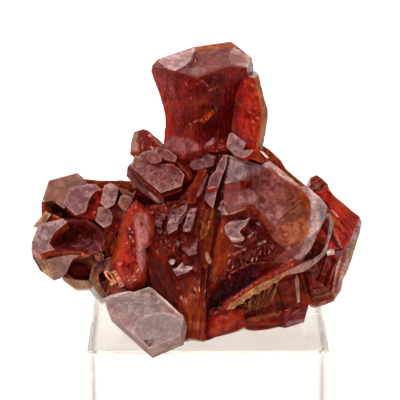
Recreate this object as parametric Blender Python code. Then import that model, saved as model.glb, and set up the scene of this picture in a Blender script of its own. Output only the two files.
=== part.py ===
"""Vanadinite crystals grown together on a scrap of matrix, fixed on a clear acrylic block.

The block stands on the ground plane with the origin under its middle. The crystals are
drawn on a sheet: a front elevation that leans back by SHEET_LEAN and is drawn as the eye
sees it from VIEW_DISTANCE. A place is (across, down) on the sheet, in sheet units, and how
far it stands out of the sheet towards the viewer, in millimetres.
"""
import math
import random

import bmesh
import bpy
from mathutils import Matrix, Vector

MM = 0.001

# The block and the cluster, in millimetres
BLOCK_SIDE = 25.4
BLOCK_HEIGHT = 12.7
BLOCK_BEVEL = 0.25
CLUSTER_WIDTH = 35.6
GAP = 0.3

# The sheet on which the crystals are drawn
CLUSTER_WIDTH_ON_SHEET = 330.0
SHEET_UNIT = CLUSTER_WIDTH / CLUSTER_WIDTH_ON_SHEET
SHEET_MIDDLE = (200.0, 200.0)
SHEET_MIDDLE_ACROSS = -0.86
SHEET_MIDDLE_HEIGHT = 25.7
SHEET_LEAN = math.radians(15)
VIEW_DISTANCE = 286.0

# The matrix: a rough lump behind and below the crystals
MATRIX_CENTRE = (-0.5, 6.2, 17.6)
MATRIX_RADII = (9.6, 5.0, 6.4)
MATRIX_ROUGHNESS = 0.13
MATRIX_SEED = 4


def clear_scene():
    for leftover in list(bpy.data.objects):
        bpy.data.objects.remove(leftover, do_unlink=True)


def new_material(name, colour, roughness, transmission=0.0, ior=1.5):
    material = bpy.data.materials.new(name)
    material.use_nodes = True
    surface = material.node_tree.nodes["Principled BSDF"]
    surface.inputs["Base Color"].default_value = (*colour, 1.0)
    surface.inputs["Roughness"].default_value = roughness
    surface.inputs["Metallic"].default_value = 0.0
    surface.inputs["Transmission Weight"].default_value = transmission
    surface.inputs["IOR"].default_value = ior
    return material


def new_object(name, shape, collection, material=None):
    """Turn a bmesh in millimetres into an object in metres."""
    bmesh.ops.scale(shape, vec=(MM, MM, MM), verts=shape.verts)
    bmesh.ops.recalc_face_normals(shape, faces=shape.faces)
    mesh = bpy.data.meshes.new(name)
    shape.to_mesh(mesh)
    shape.free()
    made = bpy.data.objects.new(name, mesh)
    collection.objects.link(made)
    if material:
        mesh.materials.append(material)
    return made


def new_guides(name):
    """A collection of shapes that only join or cut a real piece."""
    guides = bpy.data.collections.new(name)
    bpy.context.scene.collection.children.link(guides)
    return guides


def add_guide(name, shape, guides):
    guide = new_object(name, shape, guides)
    guide.hide_render = True
    guide.display_type = "WIRE"
    return guide


# Places on the sheet

def flat_place(across, down):
    """A place on the sheet itself, in millimetres right of and above its middle."""
    return Vector(((across - SHEET_MIDDLE[0]) * SHEET_UNIT,
                   (SHEET_MIDDLE[1] - down) * SHEET_UNIT, 0.0))


def place(across, down, out):
    """A place that is seen at (across, down) and stands out of the sheet."""
    flat = flat_place(across, down)
    nearer = 1.0 - out / VIEW_DISTANCE
    return Vector((flat.x * nearer, flat.y * nearer, out))


def place_on_face(across, down, centre, normal):
    """Where the line from the eye through (across, down) meets a crystal face."""
    eye = Vector((0.0, 0.0, VIEW_DISTANCE))
    sight = flat_place(across, down) - eye
    return eye + sight * (normal.dot(centre - eye) / normal.dot(sight))


def in_world(point):
    """Stand the leaning sheet up over the block."""
    right = point.x + SHEET_MIDDLE_ACROSS
    back = point.y * math.sin(SHEET_LEAN) - point.z * math.cos(SHEET_LEAN)
    height = point.y * math.cos(SHEET_LEAN) + point.z * math.sin(SHEET_LEAN)
    return Vector((right, back, height + SHEET_MIDDLE_HEIGHT))


# Shapes

def loft(rings):
    """A closed shape through rings of places, each ring with the same number of points."""
    shape = bmesh.new()
    loops = [[shape.verts.new(in_world(point)) for point in ring] for ring in rings]
    count = len(loops[0])
    for upper, lower in zip(loops, loops[1:]):
        for i in range(count):
            j = (i + 1) % count
            shape.faces.new((upper[i], upper[j], lower[j], lower[i]))
    shape.faces.new(loops[0])
    shape.faces.new(loops[-1])
    bmesh.ops.triangulate(shape, faces=[f for f in shape.faces if len(f.verts) > 3])
    return shape


def face_normal(lean, facing):
    """Unit normal that leans right and up by the two given parts of its length."""
    right, up = lean
    return Vector((right, up, facing * math.sqrt(1.0 - right * right - up * up)))


def crystal_shape(outline, out, lean, length, taper, facing):
    """A prism behind a flat end face, whose outline is drawn on the sheet."""
    middle = [sum(values) / len(outline) for values in zip(*outline)]
    centre = place(*middle, out)
    normal = face_normal(lean, facing)
    front = [place_on_face(*corner, centre, normal) for corner in outline]
    root = centre - normal * length
    back = [root + (corner - centre) * taper for corner in front]
    return loft([front, back])


def hexagon(across, down, radius, turn, flatten=1.0):
    """Corners of a hexagon on the sheet, turned by degrees and flattened downwards."""
    corners = []
    for step in range(6):
        angle = math.radians(turn + 60 * step)
        corners.append((across + radius * math.cos(angle),
                        down - radius * flatten * math.sin(angle)))
    return corners


class Cluster:
    """The guides that make up the grown-together crystals."""

    def __init__(self):
        self.growth = new_guides("growth")
        self.hollows = new_guides("hollows")
        self.infill = new_guides("infill")

    def grow(self, name, outline, out, lean, length, taper=1.0, facing=1):
        shape = crystal_shape(outline, out, lean, length, taper, facing)
        add_guide(name, shape, self.growth)

    def fill(self, name, outline, out, lean, length, taper=1.0):
        """A crystal that grows inside a hollow."""
        shape = crystal_shape(outline, out, lean, length, taper, 1)
        add_guide(name, shape, self.infill)

    def hollow(self, name, outline, out, lean, depth, floor=0.6):
        """A funnel-shaped hollow below a crystal's end face."""
        proud = 0.4
        shape = crystal_shape(outline, out + proud, lean, depth + proud, floor, 1)
        add_guide(name, shape, self.hollows)

    def grow_rings(self, name, rings):
        shape = loft([[place(*point) for point in ring] for ring in rings])
        add_guide(name, shape, self.growth)


# The crystals, group by group

def tower(cluster):
    """The tall waisted crystal on top, and the bright prism along its right side."""
    cluster.grow_rings("tower", [
        [(175, 71, 6.2), (197, 78, 6.6), (228, 66, 5.8), (247, 68, 5.0), (251.5, 57.5, 1.8),
         (231, 41.5, -1.6), (193.5, 47, -1.2), (158, 59, 2.4), (152, 66, 4.4)],
        [(172, 82, 5.4), (197, 88, 5.2), (227, 80, 4.9), (247, 80, 3.9), (253, 72, 0.8),
         (231, 68, -3.2), (192, 72, -2.8), (158, 84, 0.8), (152, 74, 3.6)],
        [(178, 100, 4.2), (199, 104, 3.8), (222, 102, 3.4), (238, 102, 2.4),
         (245, 100, -0.3), (231, 98, -4.0), (193, 98, -3.6), (163, 100, 0.2),
         (160.5, 97, 2.6)],
        [(182, 122, 3.4), (200, 124, 3.0), (216, 124, 2.6), (232, 124, 1.6),
         (240, 122, -1.2), (230, 120, -4.6), (195, 120, -4.4), (168, 122, -0.7),
         (165.5, 120, 1.8)],
        [(181.5, 155, 5.2), (201, 150, 5.0), (214, 143, 4.3), (234, 142, 1.8),
         (246, 143, -1.6), (232, 142, -5.2), (196, 142, -5.0), (166, 142, -1.1),
         (163.5, 147, 3.0)],
        [(182, 166, 3.8), (200, 164, 3.8), (216, 160, 3.4), (236, 166, 1.5),
         (248, 168, -2.0), (232, 168, -5.4), (196, 168, -5.2), (170, 166, -1.5),
         (168, 158, 1.8)],
    ])
    cluster.grow_rings("tower_side_prism", [
        [(244, 75, 4.4), (251, 77, 4.2), (257.7, 73.5, 2.6), (255, 71, -1.8), (240, 72, -1.8)],
        [(236, 95, 4.4), (250, 96, 4.6), (263.5, 95, 2.3), (257, 95, -2.6), (238, 95, -2.4)],
        [(233, 116, 4.2), (250, 117, 4.5), (267.7, 114.6, 1.8), (259, 113, -3.4),
         (238, 112, -2.8)],
        [(231, 134, 4.2), (247, 144, 4.7), (262, 146, 2.0), (257, 142, -3.8),
         (236, 140, -3.2)],
        [(232, 152, 3.4), (247, 158, 3.8), (266, 160, 1.6), (257, 162, -4.0),
         (236, 162, -3.4)],
    ])
    cluster.grow("tower_groove_ridge", [(222, 88), (226, 88), (219, 142), (214, 142)],
                 4.1, (0.1, 0.0), 3.0)
    cluster.grow("tower_bump", [(192, 121), (203, 111), (211, 107), (212, 113), (204, 121),
                                (197, 125)], 4.1, (0.0, 0.2), 2.5)
    cluster.grow("tower_foot_plate", [(230, 133), (246, 143), (254, 150), (244, 157),
                                      (235, 155.5), (227, 147)], 5.4, (-0.1, 0.3), 3.0)
    cluster.grow("tower_foot_ledge", [(244, 150), (262, 149), (269, 159), (262, 165),
                                      (246, 160), (236, 157)], 4.6, (0.1, 0.2), 4.0)
    cluster.grow("tower_foot", [(204, 138), (262, 150), (264, 176), (222, 180), (200, 168)],
                 3.7, (0.0, 0.1), 8.0)


def upper_left_pair(cluster):
    cluster.grow("pair_back", [(134, 132), (143.5, 129), (148, 130.5), (159, 143), (168, 152),
                               (140, 160), (130, 154), (131, 143.5)],
                 1.6, (-0.3, 0.25), 6.0)
    cluster.grow("pair_front", [(131, 166), (135, 155), (155, 164), (172, 164), (184, 175),
                                (181.5, 186), (161, 193), (144, 178.5)],
                 4.6, (-0.1, 0.26), 2.0)
    cluster.grow("pair_second", [(127, 167), (131, 162), (150, 176), (166, 190), (163, 205),
                                 (156, 203), (127, 177)], 3.3, (-0.2, 0.2), 4.5)
    cluster.grow("pair_pitted", [(153, 148), (158, 146), (169, 150), (177, 157), (175, 163),
                                 (158, 163), (151, 155)], 4.0, (-0.1, 0.5), 3.0)
    cluster.grow("pair_crescent", [(174, 157), (182, 158), (190, 166), (192, 176), (186, 180),
                                   (176, 168)], 3.8, (0.3, 0.3), 4.0)


def left_group(cluster):
    cluster.grow("left_back_plate", [(80, 179), (98, 180), (131, 180), (134, 200), (120, 218),
                                     (90, 215), (80, 200)], 0.6, (0.0, 0.2), 4.0)
    cluster.grow("left_far_hexagon", [(49, 180.5), (77, 173), (88, 184), (80, 206),
                                      (63, 211), (43, 201)], 2.2, (-0.2, 0.35), 5.0, 0.8)
    cluster.grow("left_near_hexagon", [(68, 189.5), (88, 184), (96, 184), (102, 190),
                                       (88, 201), (86, 211), (75.5, 215.5), (63.5, 204)],
                 4.2, (-0.05, 0.22), 4.0)
    cluster.grow("left_long", [(103, 186), (110.5, 183), (118, 187), (118, 193), (114.5, 204),
                               (106, 209), (100, 203)], 4.5, (0.0, 0.12), 4.0)
    cluster.grow("left_tiny", [(119, 197), (124, 194.5), (130.5, 200), (126, 211),
                               (118, 205)], 4.2, (0.1, 0.1), 4.0)
    cluster.grow("left_stepped", [(98, 207), (110.5, 209), (113, 217), (111, 224.5),
                                  (104, 228), (95, 220)], 4.9, (0.0, 0.12), 4.5)
    cluster.grow("left_ridge", [(118, 187), (133, 194), (135, 191), (132, 203), (125, 217),
                                (120, 222), (124, 204)], 3.8, (0.1, 0.1), 3.5)
    cluster.grow("left_splinter", [(46, 211), (52, 214.5), (46, 226), (33.5, 226.5)],
                 3.2, (-0.4, 0.1), 6.0)
    cluster.grow("left_hopper", [(39.5, 225), (62.5, 218.5), (84, 217), (101, 228),
                                 (103, 244), (90, 257), (55, 260), (32.5, 252), (32, 243),
                                 (35.5, 234)], 4.8, (-0.12, 0.42), 6.0, 0.5)
    cluster.hollow("left_hopper_hollow", [(64, 225), (84, 221), (97, 230), (98, 245),
                                          (84, 252), (56, 250), (49, 243), (54, 233)],
                   4.8, (-0.05, 0.2), 3.0, 0.55)
    cluster.grow("left_low_prism", [(46, 260), (81, 255), (72, 260), (66, 273), (61, 278.5),
                                    (53.5, 280.5)], 4.6, (-0.1, -0.35), 5.0)
    cluster.grow("left_rough_side", [(33, 250), (46, 258), (54, 280.5), (40.5, 270),
                                     (33.5, 258)], 3.2, (-0.5, -0.3), 3.5)
    cluster.grow("left_window", [(70, 257), (95, 256), (103, 268), (96, 284), (91, 288),
                                 (75, 288), (62, 278), (66, 268)], 4.0, (0.0, 0.1), 4.5)
    cluster.hollow("left_window_hollow", [(73, 261), (91, 264), (94, 273), (89, 280.5),
                                          (75, 280), (67, 273)], 4.0, (0.0, 0.1), 2.0)
    cluster.grow("left_low_hopper", [(90, 273), (97, 262), (111, 256.5), (115, 268),
                                     (112, 285), (106, 294), (103, 299), (90, 285)],
                 5.6, (0.15, 0.1), 5.0)
    cluster.hollow("left_low_hopper_hollow", [(99, 272), (108, 268), (111, 277), (105, 290),
                                              (97, 281)], 5.6, (0.15, 0.1), 2.0)
    cluster.grow("left_knob", [(95, 256), (99, 252.5), (104, 255), (103, 262), (96, 262)],
                 6.2, (0.0, 0.1), 3.0)


def long_red_crystal(cluster):
    """The glossy lengthwise crystal left of the middle, with a raised back."""
    edge = [(136.5, 199.5), (146, 208), (155, 225), (152, 242), (146, 249), (148, 258),
            (145, 287), (133.5, 292.5), (125, 288), (111.5, 266), (116, 247), (121, 225)]
    crest = [(137, 204), (143, 211), (149, 225), (147, 240), (141, 249), (142, 258),
             (139, 282), (133, 287), (126, 282), (117, 265), (122, 248), (127, 226)]
    cluster.grow_rings("long_red", [
        [(x, y, 7.4) for x, y in crest],
        [(x, y, 6.2) for x, y in edge],
        [(x, y, 1.0) for x, y in edge],
    ])


def foot_crystal(cluster):
    """The clean forward crystal whose tip hangs over the block's front edge."""
    cluster.grow("foot_root", [(120, 294), (150, 290), (168, 304), (180, 318), (170, 328),
                               (140, 322), (112, 304)], 10.0, (-0.1, -0.12), 8.0)
    cluster.grow("foot", [(103.5, 299), (110.5, 295), (128.5, 291), (134, 292), (149, 287),
                          (152, 288), (169, 303), (184, 316.5), (180, 335.5), (149, 348.5),
                          (108, 312)], 10.8, (-0.15, 0.48), 2.3)


def middle_fan(cluster):
    """Slabs and long blades that spread upwards from the foot of the cluster."""
    cluster.grow("fan_wall", [(148, 212), (166, 205), (190, 235), (200, 300), (196, 336),
                              (184, 340), (176, 320), (152, 290), (146, 258)],
                 4.8, (0.1, 0.25), 5.0)
    cluster.grow("fan_head", [(190, 163), (196, 156), (206, 154), (216, 157), (213, 167),
                              (200, 170)], 4.4, (-0.1, 0.3), 4.0)
    cluster.grow("fan_prism", [(199, 171), (208, 169), (196, 203), (186, 204)],
                 4.6, (-0.2, 0.1), 4.0)
    cluster.grow("fan_blade", [(227, 155), (225.5, 166), (221, 177), (216, 191), (212.5, 209),
                               (204.5, 199), (210, 177), (215, 171.5)],
                 5.6, (-0.1, 0.15), 4.0)
    cluster.grow("fan_sliver", [(224, 196), (222, 211), (218, 209)], 5.6, (0.0, 0.1), 2.5)
    cluster.grow("fan_orange_prism", [(206, 209), (215, 208), (207, 237), (199, 241)],
                 5.4, (0.1, 0.15), 3.5)
    cluster.grow("slab_left", [(171, 211), (187.5, 203), (185.5, 212), (180, 217), (177, 229),
                               (168.5, 234), (166, 227)], 6.0, (-0.1, 0.25), 3.0)
    cluster.grow("slab_right", [(189, 209.5), (196.5, 210), (192, 229), (185, 232),
                                (183, 228)], 6.2, (-0.1, 0.25), 3.0)
    cluster.grow("slab_middle", [(181, 248), (190.5, 246.5), (198, 240), (196, 254),
                                 (189, 256)], 6.6, (-0.1, 0.4), 3.0)
    cluster.grow("slab_low", [(172, 269), (182, 263), (193, 268), (187, 272.5), (177, 276)],
                 6.8, (-0.1, 0.4), 3.0)
    heads = [(172, 244, 5.6), (180, 262, 5.6), (189, 256, 6.0), (199, 236, 5.8),
             (207, 236, 5.8), (216, 238, 5.6), (226, 243, 5.4)]
    for number, (across, down, out) in enumerate(heads):
        toe = 188.0 + 2.4 * number
        cluster.grow(f"fan_rib_{number}", [(across - 3, down), (across + 3, down - 2),
                                           (toe + 1.5, 334), (toe - 1.5, 335)],
                     out + 0.3, (0.0, 0.12), 3.0)


def right_plate(cluster):
    """The big dished crystal right of the middle, with its thick pale rim."""
    cluster.grow("plate_shoulder", [(262, 146), (270, 150), (281, 161), (293, 175),
                                    (307, 187), (300, 205), (262, 190), (250, 165)],
                 1.6, (0.2, 0.2), 3.5)
    cluster.grow("plate_body", [(228, 155), (261, 165), (268.5, 160.5), (290, 177),
                                (301, 187), (314, 192.5), (328, 208), (328.5, 223),
                                (320, 236), (308.5, 255), (293, 264), (262, 262),
                                (236, 272), (222, 240), (222, 182)],
                 5.0, (0.1, 0.12), 5.5, 0.85)
    cluster.hollow("plate_dish", [(246, 178), (263, 167), (281, 180), (306, 193.5),
                                  (311.5, 208), (307, 236), (285, 246), (262, 226),
                                  (246, 208)], 5.0, (0.1, 0.12), 2.2, 0.55)
    cluster.hollow("plate_lower_step", [(226, 216), (247, 210), (265, 226), (284, 247),
                                        (262, 262), (236, 274), (222, 250)],
                   4.4, (-0.1, 0.15), 1.2, 0.9)
    cluster.fill("plate_top", [(228, 155), (261, 165), (250, 176.5), (238, 182.5),
                               (223, 182)], 5.7, (0.0, 0.15), 3.0)
    cluster.fill("plate_inner", [(226, 192), (250, 190), (262, 205), (250, 206.5), (228, 214),
                                 (224, 205)], 5.5, (0.0, 0.1), 3.0)
    cluster.fill("plate_wrinkled", [(262, 208), (284, 208), (280, 222), (268, 226)],
                 4.6, (0.1, 0.1), 2.5)
    cluster.fill("plate_lobe", [(274.5, 231), (278, 225), (292, 218), (304, 213.5),
                                (311, 222.5), (306.5, 237), (293, 245), (283, 246),
                                (276, 240)], 5.6, (0.0, 0.1), 3.0)
    cluster.fill("plate_hook", [(226, 223.5), (233.5, 220), (248, 219), (245.5, 226),
                                (240, 233), (243.5, 238), (231, 240), (224, 232)],
                 5.9, (-0.1, 0.3), 3.0)
    cluster.grow("plate_second", [(322, 205), (333, 223), (327.5, 243), (325.5, 253),
                                  (308, 268.5), (292, 272), (285, 255), (305, 225)],
                 3.4, (0.2, 0.1), 3.5)


def lower_right_group(cluster):
    cluster.grow("valley_slab", [(206, 292), (232, 268), (257, 256), (296, 258), (300, 271),
                                 (280, 280), (252, 292), (222, 313), (204, 330)],
                 5.2, (-0.15, 0.2), 4.5)
    cluster.grow("valley_ribbon", [(222, 311), (234, 302), (252, 291.5), (265, 287.5),
                                   (281, 277), (292, 272), (294, 277), (270, 293),
                                   (250, 299), (236, 310), (225, 317)],
                 5.9, (0.0, -0.1), 2.0)
    for number in range(6):
        across = 248.0 + 7.0 * number
        cluster.grow(f"valley_rib_{number}", [(across, 294 - number), (across + 3, 292 - number),
                                              (across - 2, 316), (across - 6, 317)],
                     3.9, (0.1, -0.2), 3.0)
    cluster.grow("low_red_mass", [(194, 300), (215, 298), (228, 310), (243, 308), (245, 327),
                                  (235.5, 331.5), (215, 337), (203, 341), (190, 338),
                                  (184, 330)], 5.0, (0.0, 0.1), 5.0)
    cluster.grow("low_plate", [(240, 318), (281, 310), (290, 292), (300, 294), (309, 305),
                               (304, 322), (285.5, 327.5), (255.5, 330.5), (244, 326)],
                 2.6, (0.1, 0.0), 5.0)
    cluster.grow("low_ridge", [(296, 290), (300, 292), (300, 306), (297, 306)],
                 3.2, (0.0, 0.0), 2.0)


def right_group(cluster):
    cluster.grow("right_small", [(306, 188), (310, 178), (317, 175), (328, 184), (332, 196),
                                 (322, 205), (310, 198)], 1.0, (0.1, 0.2), 5.0)
    cluster.grow("right_large", [(318, 190), (329, 189), (343, 203), (360, 217),
                                 (346, 249), (329, 250), (312, 235)],
                 2.4, (0.25, 0.2), 7.0)
    cluster.grow("right_strip", [(360, 217), (361.5, 223), (359, 235), (352, 259), (343, 279),
                                 (341, 290), (332, 299), (338, 270), (346, 248)],
                 1.7, (0.45, -0.1), 6.0)
    cluster.grow("right_lower_face", [(322, 250), (346, 248), (341, 270), (333, 297),
                                      (322, 292), (316, 270)], 2.0, (0.1, -0.1), 6.0)
    cluster.grow("right_foot", [(305, 285), (318, 280), (336, 290), (334, 301), (315, 307.5),
                                (309, 305)], 2.4, (0.0, -0.1), 5.0)


def back_crystals(cluster):
    """Hexagonal crystals that look away from the viewer, and up or down around the rim."""
    # across, down, radius, turn, out, lean, length
    hexagons = [
        (208, 104, 22, 12, -4.9, (0.1, 0.25), 3.5),
        (190, 176, 30, 25, -6.6, (-0.1, 0.25), 4.0),
        (240, 190, 25, 5, -6.0, (0.2, 0.3), 4.0),
        (282, 212, 27, 18, -5.0, (0.35, 0.2), 5.0),
        (310, 252, 22, 40, -3.8, (0.5, 0.1), 5.0),
        (134, 200, 25, 30, -5.4, (-0.3, 0.3), 5.0),
        (92, 214, 24, 8, -3.8, (-0.35, 0.25), 5.0),
        (70, 248, 20, 22, -2.6, (-0.55, 0.0), 5.0),
        (276, 282, 24, 20, -4.2, (0.3, -0.1), 5.0),
        (118, 258, 24, 10, -4.6, (-0.35, -0.05), 5.0),
    ]
    for number, (across, down, radius, turn, out, lean, length) in enumerate(hexagons):
        cluster.grow(f"back_{number}", hexagon(across, down, radius, turn, 0.92),
                     out, lean, length, 1.0, -1)


def core_shape():
    """The mass that the crystals stand on: three outlines, wide in the middle."""
    outline = [(58, 222), (92, 192), (132, 186), (160, 156), (190, 140), (236, 140),
               (262, 160), (298, 194), (330, 214), (336, 252), (322, 286), (292, 312),
               (250, 322), (206, 330), (172, 322), (124, 290), (84, 274), (56, 254)]
    middle = (200.0, 235.0)

    def ring(scale, out):
        return [place(middle[0] + (across - middle[0]) * scale,
                      middle[1] + (down - middle[1]) * scale, out) for across, down in outline]
    return loft([ring(0.86, 3.4), ring(0.97, 0.6), ring(0.72, -5.6)])


def lump_shape(grown=0.0):
    """The matrix, a rough ball with flattened facets, or the same lump grown outwards."""
    chance = random.Random(MATRIX_SEED)
    shape = bmesh.new()
    bmesh.ops.create_icosphere(shape, subdivisions=3, radius=1.0)
    for vertex in shape.verts:
        bump = 1.0 + chance.uniform(-MATRIX_ROUGHNESS, MATRIX_ROUGHNESS)
        vertex.co = Vector([part * radius * bump
                            for part, radius in zip(vertex.co, MATRIX_RADII)])
    for vertex in shape.verts:
        vertex.co += vertex.co.normalized() * grown
    bmesh.ops.translate(shape, vec=MATRIX_CENTRE, verts=shape.verts)
    return shape


def box_shape(low, high):
    shape = bmesh.new()
    bmesh.ops.create_cube(shape, size=1.0)
    size = [top - bottom for bottom, top in zip(low, high)]
    middle = [(top + bottom) / 2 for bottom, top in zip(low, high)]
    bmesh.ops.transform(shape, matrix=Matrix.Translation(middle) @ Matrix.Diagonal((*size, 1.0)),
                        verts=shape.verts)
    return shape


def add_boolean(piece, name, operation, guides):
    """Join or cut with one guide, or with every guide of a collection."""
    modifier = piece.modifiers.new(name, "BOOLEAN")
    modifier.operation = operation
    modifier.solver = "EXACT"
    if isinstance(guides, bpy.types.Collection):
        modifier.operand_type = "COLLECTION"
        modifier.collection = guides
    else:
        modifier.object = guides


def make_display_block(scene_collection):
    acrylic = new_material("clear_acrylic", (0.95, 0.96, 0.95), 0.04, 1.0, 1.49)
    half = BLOCK_SIDE / 2
    shape = box_shape((-half, -half, 0.0), (half, half, BLOCK_HEIGHT))
    block = new_object("display_block", shape, scene_collection, acrylic)
    bevel = block.modifiers.new("polished_edges", "BEVEL")
    bevel.width = BLOCK_BEVEL * MM
    bevel.segments = 1


def make_cluster(scene_collection, clearance):
    vanadinite = new_material("vanadinite_red", (0.25, 0.02, 0.015), 0.28)
    cluster = Cluster()
    tower(cluster)
    upper_left_pair(cluster)
    left_group(cluster)
    long_red_crystal(cluster)
    foot_crystal(cluster)
    middle_fan(cluster)
    right_plate(cluster)
    lower_right_group(cluster)
    right_group(cluster)
    back_crystals(cluster)
    add_guide("matrix_clearance", lump_shape(GAP), clearance)
    crystals = new_object("crystal_cluster", core_shape(), scene_collection, vanadinite)
    add_boolean(crystals, "grown_together", "UNION", cluster.growth)
    add_boolean(crystals, "hopper_hollows", "DIFFERENCE", cluster.hollows)
    add_boolean(crystals, "grown_in_hollows", "UNION", cluster.infill)
    add_boolean(crystals, "clear_of_neighbours", "DIFFERENCE", clearance)


def make_matrix(scene_collection, block_clearance):
    rock = new_material("matrix_rock", (0.3, 0.19, 0.11), 0.85)
    matrix = new_object("matrix", lump_shape(), scene_collection, rock)
    add_boolean(matrix, "flat_underside", "DIFFERENCE", block_clearance)


def main():
    clear_scene()
    scene_collection = bpy.context.scene.collection
    clearance = new_guides("clearance")
    reach = BLOCK_SIDE / 2 + GAP
    block_clearance = add_guide("block_clearance",
                                box_shape((-reach, -reach, 0.0),
                                          (reach, reach, BLOCK_HEIGHT + GAP)), clearance)
    make_display_block(scene_collection)
    make_cluster(scene_collection, clearance)
    make_matrix(scene_collection, block_clearance)


main()
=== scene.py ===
"""The looks of a vanadinite specimen on its clear acrylic block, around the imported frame.

Crystals are drawn on a sheet, as in a front elevation: a leaning plane seen by an eye that
is VIEW_DISTANCE in front of it. A place is (across, down) in sheet units plus how far it
stands out of the sheet, in millimetres. Each crystal gets a fine skin: an end face with
its relief, sides with growth lines, and colours and finishes worked out corner by corner.

An outline is written "across,down across,down ..." and a tint as the colour codes of its
paler and its darker end.
"""

import math

import bmesh
import bpy
import numpy as np
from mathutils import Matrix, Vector, geometry

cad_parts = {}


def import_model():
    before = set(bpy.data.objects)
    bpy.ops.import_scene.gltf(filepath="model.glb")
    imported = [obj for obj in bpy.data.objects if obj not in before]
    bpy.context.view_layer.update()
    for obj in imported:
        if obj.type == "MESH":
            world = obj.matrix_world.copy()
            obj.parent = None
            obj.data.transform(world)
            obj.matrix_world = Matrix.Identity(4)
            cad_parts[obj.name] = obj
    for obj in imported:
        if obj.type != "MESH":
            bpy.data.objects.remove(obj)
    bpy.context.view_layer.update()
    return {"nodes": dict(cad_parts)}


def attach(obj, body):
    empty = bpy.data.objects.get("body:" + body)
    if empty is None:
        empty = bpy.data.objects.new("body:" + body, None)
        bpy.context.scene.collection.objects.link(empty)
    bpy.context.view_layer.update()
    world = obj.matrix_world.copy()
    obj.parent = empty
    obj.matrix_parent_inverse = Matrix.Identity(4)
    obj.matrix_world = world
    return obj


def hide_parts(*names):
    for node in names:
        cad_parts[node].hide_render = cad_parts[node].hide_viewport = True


MM = 0.001

# The sheet, as the solids use it
SHEET_UNIT = 35.6 / 330.0
SHEET_MIDDLE = np.array([200.0, 200.0])
SHEET_MIDDLE_ACROSS = -0.86
SHEET_MIDDLE_HEIGHT = 25.7
SHEET_LEAN = math.radians(15)
VIEW_DISTANCE = 286.0
SHEET_TO_MM = SHEET_UNIT * np.array([1.0, -1.0])

# How finely skins are cut: sheet units across a face, millimetres along a side
FINE = 1.25
COARSE = 2.4
SIDE_STEP = 0.22
FEWEST_LAYERS, MOST_LAYERS = 2, 22
OVAL_POINTS = 20

# Edges that turn more than this stay sharp
CRYSTAL_SHARP = math.radians(32)
ROCK_SHARP = math.radians(40)

FROSTED, GLOSSY, HOLLOW, CRUST, BACKLIT = range(5)
WET = {"finish": GLOSSY, "rim": None}

# The block, in millimetres, and the gap that skins keep above it
BLOCK_HALF = 12.7
BLOCK_TOP = 12.7
GAP = 0.02

# Tints. Pale mauve tints of frosted faces are their own colour plus painted sheen, the haze of light a
# rough face reflects
FROST_SHEEN = "B08C8C 866062"
FROST_SHEEN_GREY = "A88A88 856866"
FOOT_GREY = "AE9894 8E7A78"
MAUVE = "845454 643234"
SMOKE = "7A4C4C 55292B"
PINK = "A87876 844442"
PALE = "E6CCC4 C9A49C"
SALMON = "E0A090 C07A6C"
RED = "A8281A 70120E"
BRIGHT_RED = "AE2D1B 88160E"
DARK_RED = "7E1812 4E0A08"
BLACK_RED = "581010 340606"
EMBER = "A8401C 74180E"
ORANGE = "C8742A 93380F"
AMBER = "C98A3C A25018"
TAN = "B99772 8A6442"
BROWN = "7C4222 4C1B0E"
STRIPE = "5E0E0C 3E0808"
UNDER_FROST = "84403A 5A201C"
GLINT = "F6ECE8 E2CFCA"

# Single colours: rim lines along edges, partly painted highlight where an edge catches the light and
# partly the edge's own colour, and the painted glints of frosted and of wet faces
RIM_HIGHLIGHT = "D8B7A8"
AMBER_RIM = "C98A3C"
FROST_GLINT = "E2CFCA"
WET_GLINT = "D8907E"
RIM_WIDTH = 1.4

# What the repeatable random numbers are mixed from
LATTICE_FACTORS = (73856093, 19349663, 83492791)
LATTICE_SEED = 2654435761
LATTICE_MIXES = ((15, 2246822519), (13, 3266489917))


def srgb(code):
    """A colour like 'A0201A' as linear red, green and blue."""
    parts = [int(code[i:i + 2], 16) / 255 for i in (0, 2, 4)]
    return np.array([p / 12.92 if p <= 0.04045 else ((p + 0.055) / 1.055) ** 2.4
                     for p in parts])


def corners(outline):
    """An outline's corners as rows of numbers, from its written form or from a list."""
    if isinstance(outline, str):
        outline = [corner.split(",") for corner in outline.split()]
    return np.array(outline, float)


# Places on the sheet

def lift(across_down, out):
    """Display places, in millimetres, of what is seen at (across, down)."""
    flat = (across_down - SHEET_MIDDLE) * SHEET_TO_MM
    nearer = 1.0 - out / VIEW_DISTANCE
    return np.column_stack([flat * nearer[:, None], out])


def lift_one(across, down, out):
    """The display place of one spot of the sheet."""
    return lift(np.array([[across, down]], float), np.array([out]))[0]


def face_out(across_down, centre, normal):
    """How far out a flat face stands where it is seen at (across, down)."""
    flat = (across_down - SHEET_MIDDLE) * SHEET_TO_MM
    sight = np.column_stack([flat, np.full(len(flat), -VIEW_DISTANCE)])
    eye = np.array([0.0, 0.0, VIEW_DISTANCE])
    share = normal.dot(centre - eye) / (sight @ normal)
    return VIEW_DISTANCE - share * VIEW_DISTANCE


def sheet_place(points):
    """(across, down) at which display places are seen."""
    nearer = 1.0 - points[:, 2] / VIEW_DISTANCE
    return points[:, :2] / nearer[:, None] / SHEET_TO_MM + SHEET_MIDDLE


def to_world(points):
    """Display places in millimetres to world metres."""
    across, up, out = points.T
    sine, cosine = math.sin(SHEET_LEAN), math.cos(SHEET_LEAN)
    return np.column_stack([across + SHEET_MIDDLE_ACROSS,
                            up * sine - out * cosine,
                            up * cosine + out * sine + SHEET_MIDDLE_HEIGHT]) * MM


# Noise

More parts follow.
